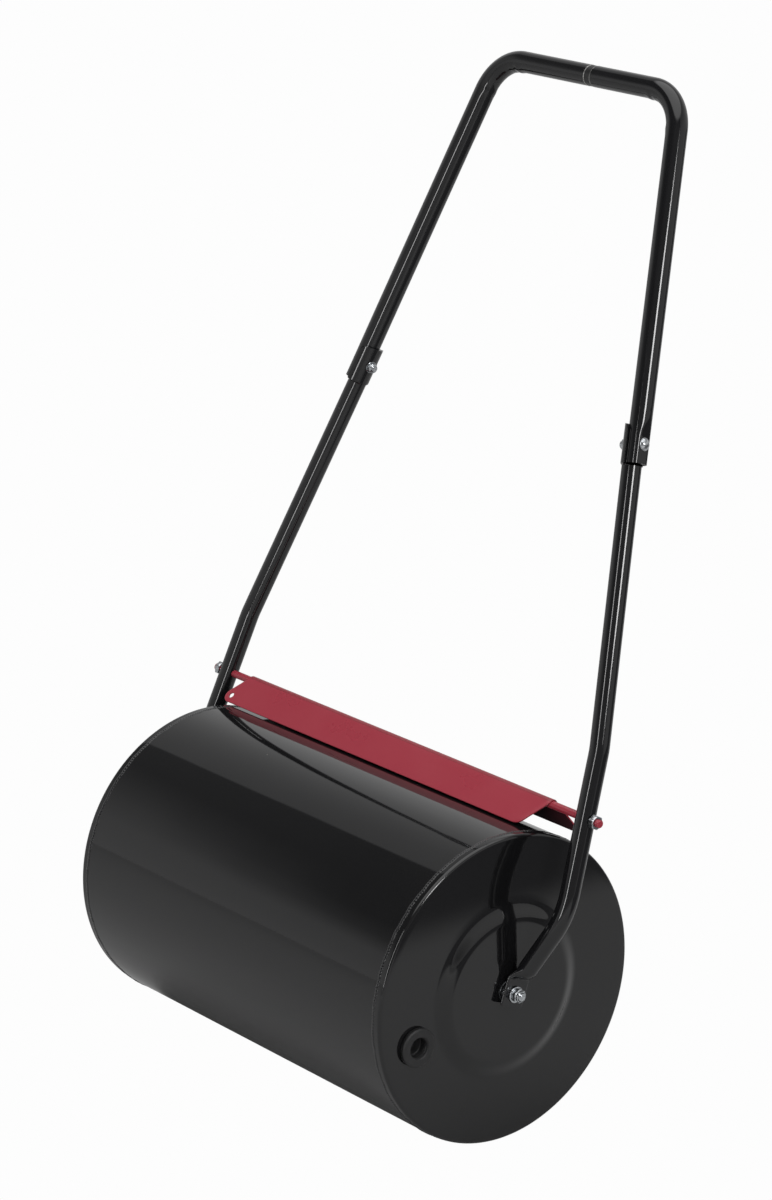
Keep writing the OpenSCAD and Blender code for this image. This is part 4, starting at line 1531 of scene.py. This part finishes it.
@dataclass
class Studio:
    """The camera, the pale floor, the surroundings and two lamps."""

    place: tuple[float, float, float] = (2.97271, -2.35268, 1.69489)
    azimuth: float = 51.047
    pitch: float = 17.4766
    lens: float = 118.54
    sensor: float = 36.0
    floor_size: float = 60.0
    floor_drop: float = 0.5
    cloth_x: tuple[float, float] = (0.67, 0.76)
    cloth_y: tuple[float, float] = (0.05, 0.22)
    top_level: float = 4.0
    hung_round: tuple[float, float, float] = (0.0, 0.1, 0.45)

    def camera(self) -> None:
        """Put the camera in its place, looking level across the drum and down at it."""
        data = bpy.data.cameras.new("camera")
        data.lens, data.sensor_fit = self.lens, "VERTICAL"
        data.sensor_width = data.sensor_height = self.sensor
        data.clip_end = 200.0
        camera = bpy.data.objects.new("camera", data)
        bpy.context.scene.collection.objects.link(camera)
        camera.location = self.place
        camera.rotation_euler = (math.radians(90.0 - self.pitch), 0.0, math.radians(self.azimuth))
        bpy.context.scene.camera = camera

    def floor(self) -> None:
        """Lay a matt floor.

        The camera sees it as plain pale paper. The roller is lit and mirrored by the real sheet
        under that: grey-white, with its shadows, and with a darker cloth beyond its edge.
        """
        half, low = self.floor_size / 2 / MM, -self.floor_drop
        corners = np.array([[[-half, y, low], [half, y, low]] for y in (-half, half)])
        material, tree, place = new_material("pale_matt_floor")
        cloud = add(tree, "ShaderNodeTexNoise", {"Scale": per_metre(900.0), "Detail": 3.0}, {"Vector": place})
        tone = mixed(tree, cloud.outputs["Fac"], "#bababa", "#bebebe")
        beyond = self.zone(tree, place, (1.0, 0.0, 0.0), *self.cloth_x)
        behind = self.zone(tree, place, (0.0, 1.0, 0.0), *self.cloth_y)
        cloth = add(tree, "ShaderNodeMath", {"operation": "MULTIPLY"}, {0: beyond, 1: behind})
        cover = add(tree, "ShaderNodeMix", {"data_type": "RGBA", 7: linear("#646466")},
                    {0: cloth.outputs[0], 6: tone.outputs[2]})
        matt = add(tree, "ShaderNodeBsdfDiffuse", {"Roughness": 0.0}, {"Color": cover.outputs[2]})
        paper = add(tree, "ShaderNodeEmission", {"Color": linear("#fdfdfd")})
        ray = add(tree, "ShaderNodeLightPath")
        seen = add(tree, "ShaderNodeMixShader", {},
                   {0: ray.outputs["Is Camera Ray"], 1: matt.outputs[0], 2: paper.outputs[0]})
        add(tree, "ShaderNodeOutputMaterial", {}, {"Surface": seen.outputs[0]})
        floor = make_piece("floor", [Patch(corners, False)], [material])

    def zone(self, tree: bpy.types.NodeTree, place: bpy.types.NodeSocket, way: tuple[float, float, float],
             start: float, stop: float) -> bpy.types.NodeSocket:
        """A part of the floor with a soft straight edge.

        Args:
            tree: The floor's node tree.
            place: Its coordinates.
            way: Direction square to the edge.
            start: Distance in metres at which the part begins to show.
            stop: Distance at which it shows fully.

        Returns:
            A socket that runs from 0 to 1.
        """
        reach = add(tree, "ShaderNodeVectorMath", {"operation": "DOT_PRODUCT", 1: way}, {0: place})
        part = add(tree, "ShaderNodeMapRange", {"interpolation_type": "SMOOTHSTEP", 1: start, 2: stop},
                   {0: reach.outputs["Value"]})
        return part.outputs[0]

    def surroundings(self) -> None:
        """Set the studio's walls and overhead light, by the direction that is looked in.

        Pale walls run up to a fifth of the way, dark cloth hangs above them in front, a soft box
        hangs at the back with a straight edge over the axle, and the ceiling is a bright bank.
        """
        world = bpy.data.worlds.new("studio")
        bpy.context.scene.world = world
        world.use_nodes = True
        tree = world.node_tree
        tree.nodes.clear()
        look = add(tree, "ShaderNodeTexCoord")
        way = add(tree, "ShaderNodeSeparateXYZ", {}, {0: look.outputs["Generated"]})
        ceiling = [(0.80, 1.75), (1.0, 1.95)]
        front, flag, back, cloth = (self.ramp(tree, way.outputs["Z"], wall + ceiling) for wall in (
            [(0.0, 0.64), (0.25, 0.58), (0.40, 0.42), (0.60, 0.15), (0.74, 0.16)],
            [(0.0, 0.64), (0.22, 0.54), (0.34, 0.20), (0.45, 0.09), (0.74, 0.10)],
            [(0.0, 0.58), (0.25, 0.70), (0.42, 0.66), (0.67, 0.44), (0.74, 0.46)],
            [(0.0, 0.58), (0.06, 0.24), (0.70, 0.20)]))
        near_flag = add(tree, "ShaderNodeMapRange", {"From Min": -0.765, "From Max": -0.725},
                        {0: way.outputs["X"]})
        face = add(tree, "ShaderNodeMix", {"data_type": "FLOAT"},
                   {0: near_flag.outputs[0], 2: front.outputs[0], 3: flag.outputs[0]})
        edge = add(tree, "ShaderNodeMapRange", {"From Min": -0.004, "From Max": 0.004},
                   {0: way.outputs["Y"]})
        walls = add(tree, "ShaderNodeMix", {"data_type": "FLOAT"},
                    {0: edge.outputs[0], 2: face.outputs[0], 3: back.outputs[0]})
        toward = add(tree, "ShaderNodeVectorMath", {"operation": "DOT_PRODUCT", 1: (0.777, -0.629, 0.0)},
                     {0: look.outputs["Generated"]})
        near = add(tree, "ShaderNodeMapRange", {"From Min": 0.60, "From Max": 0.78},
                   {0: toward.outputs["Value"]})
        level = add(tree, "ShaderNodeMix", {"data_type": "FLOAT"},
                    {0: near.outputs[0], 2: walls.outputs[0], 3: cloth.outputs[0]})
        ray = add(tree, "ShaderNodeLightPath")
        plain = add(tree, "ShaderNodeMix", {"data_type": "FLOAT", 3: 0.98},
                    {0: ray.outputs["Is Camera Ray"], 2: level.outputs[0]})
        glow = add(tree, "ShaderNodeBackground", {"Color": linear("#fefefe")},
                   {"Strength": plain.outputs[0]})
        add(tree, "ShaderNodeOutputWorld", {}, {"Surface": glow.outputs[0]})

    def ramp(self, tree: bpy.types.NodeTree, value: bpy.types.NodeSocket,
             stops: list[tuple[float, float]]) -> bpy.types.Node:
        """A curve of brightness against height, as a chain of straight stretches.

        Args:
            tree: The world's node tree.
            value: The height that is looked at, from -1 to 1.
            stops: Pairs of height and brightness.

        Returns:
            The node that gives the brightness.
        """
        curve = add(tree, "ShaderNodeFloatCurve", {}, {"Value": value})
        points = curve.mapping.curves[0].points
        top = self.top_level
        points[0].location = (stops[0][0], stops[0][1] / top)
        points[1].location = (stops[-1][0], stops[-1][1] / top)
        for place, level in stops[1:-1]:
            points.new(place, level / top)
        for point in points:
            point.handle_type = "VECTOR"
        curve.mapping.update()
        return add(tree, "ShaderNodeMath", {"operation": "MULTIPLY", 1: top}, {0: curve.outputs[0]})

    def lamp(self, name: str, azimuth: float, low: float, high: float, wide: float, radiance: float,
             distance: float = 4.0) -> None:
        """Hang a flat lamp that faces the roller.

        Its power is pi times its area times its radiance.

        Args:
            name: Name of the lamp.
            azimuth: Direction from the roller in degrees, from +X towards +Y.
            low: Height of its lower edge over the level, in degrees.
            high: Height of its upper edge.
            wide: Its width in metres.
            radiance: Its radiance, where the white floor is 1.
            distance: Distance from the roller in metres.
        """
        tall = 2 * distance * math.tan(math.radians(high - low) / 2)
        light = bpy.data.lights.new(name, "AREA")
        light.shape, light.size, light.size_y = "RECTANGLE", wide, tall
        light.energy = math.pi * wide * tall * radiance
        lamp = bpy.data.objects.new(name, light)
        bpy.context.scene.collection.objects.link(lamp)
        up, round_ = math.radians((low + high) / 2), math.radians(azimuth)
        way = Vector((math.cos(up) * math.cos(round_), math.cos(up) * math.sin(round_), math.sin(up)))
        lamp.location = Vector(self.hung_round) + distance * way
        lamp.rotation_euler = way.to_track_quat("Z", "Y").to_euler()
        lamp.visible_camera = False

    def build(self) -> None:
        """Set up the studio."""
        self.camera()
        self.floor()
        self.surroundings()
        self.lamp("key_box", -5.0, 21.0, 33.0, 0.84, 18.0)
        self.lamp("strip_box", -72.0, -1.0, 34.0, 0.46, 9.5)
        bpy.context.scene.view_settings.view_transform = "Standard"


def main() -> None:
    """Build the studio and the roller."""
    logging.basicConfig(level=logging.INFO, format="%(name)s: %(message)s")
    Studio().build()
    finishes = Finishes()
    for assembly in (Drum(finishes), Plug(finishes), Handle(finishes), AxleFittings(finishes),
                     Scraper(finishes), HiddenParts(finishes)):
        assembly.build()
        LOG.info("%s is built", type(assembly).__name__)
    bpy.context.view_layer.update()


if __name__ == "__main__":
    main()
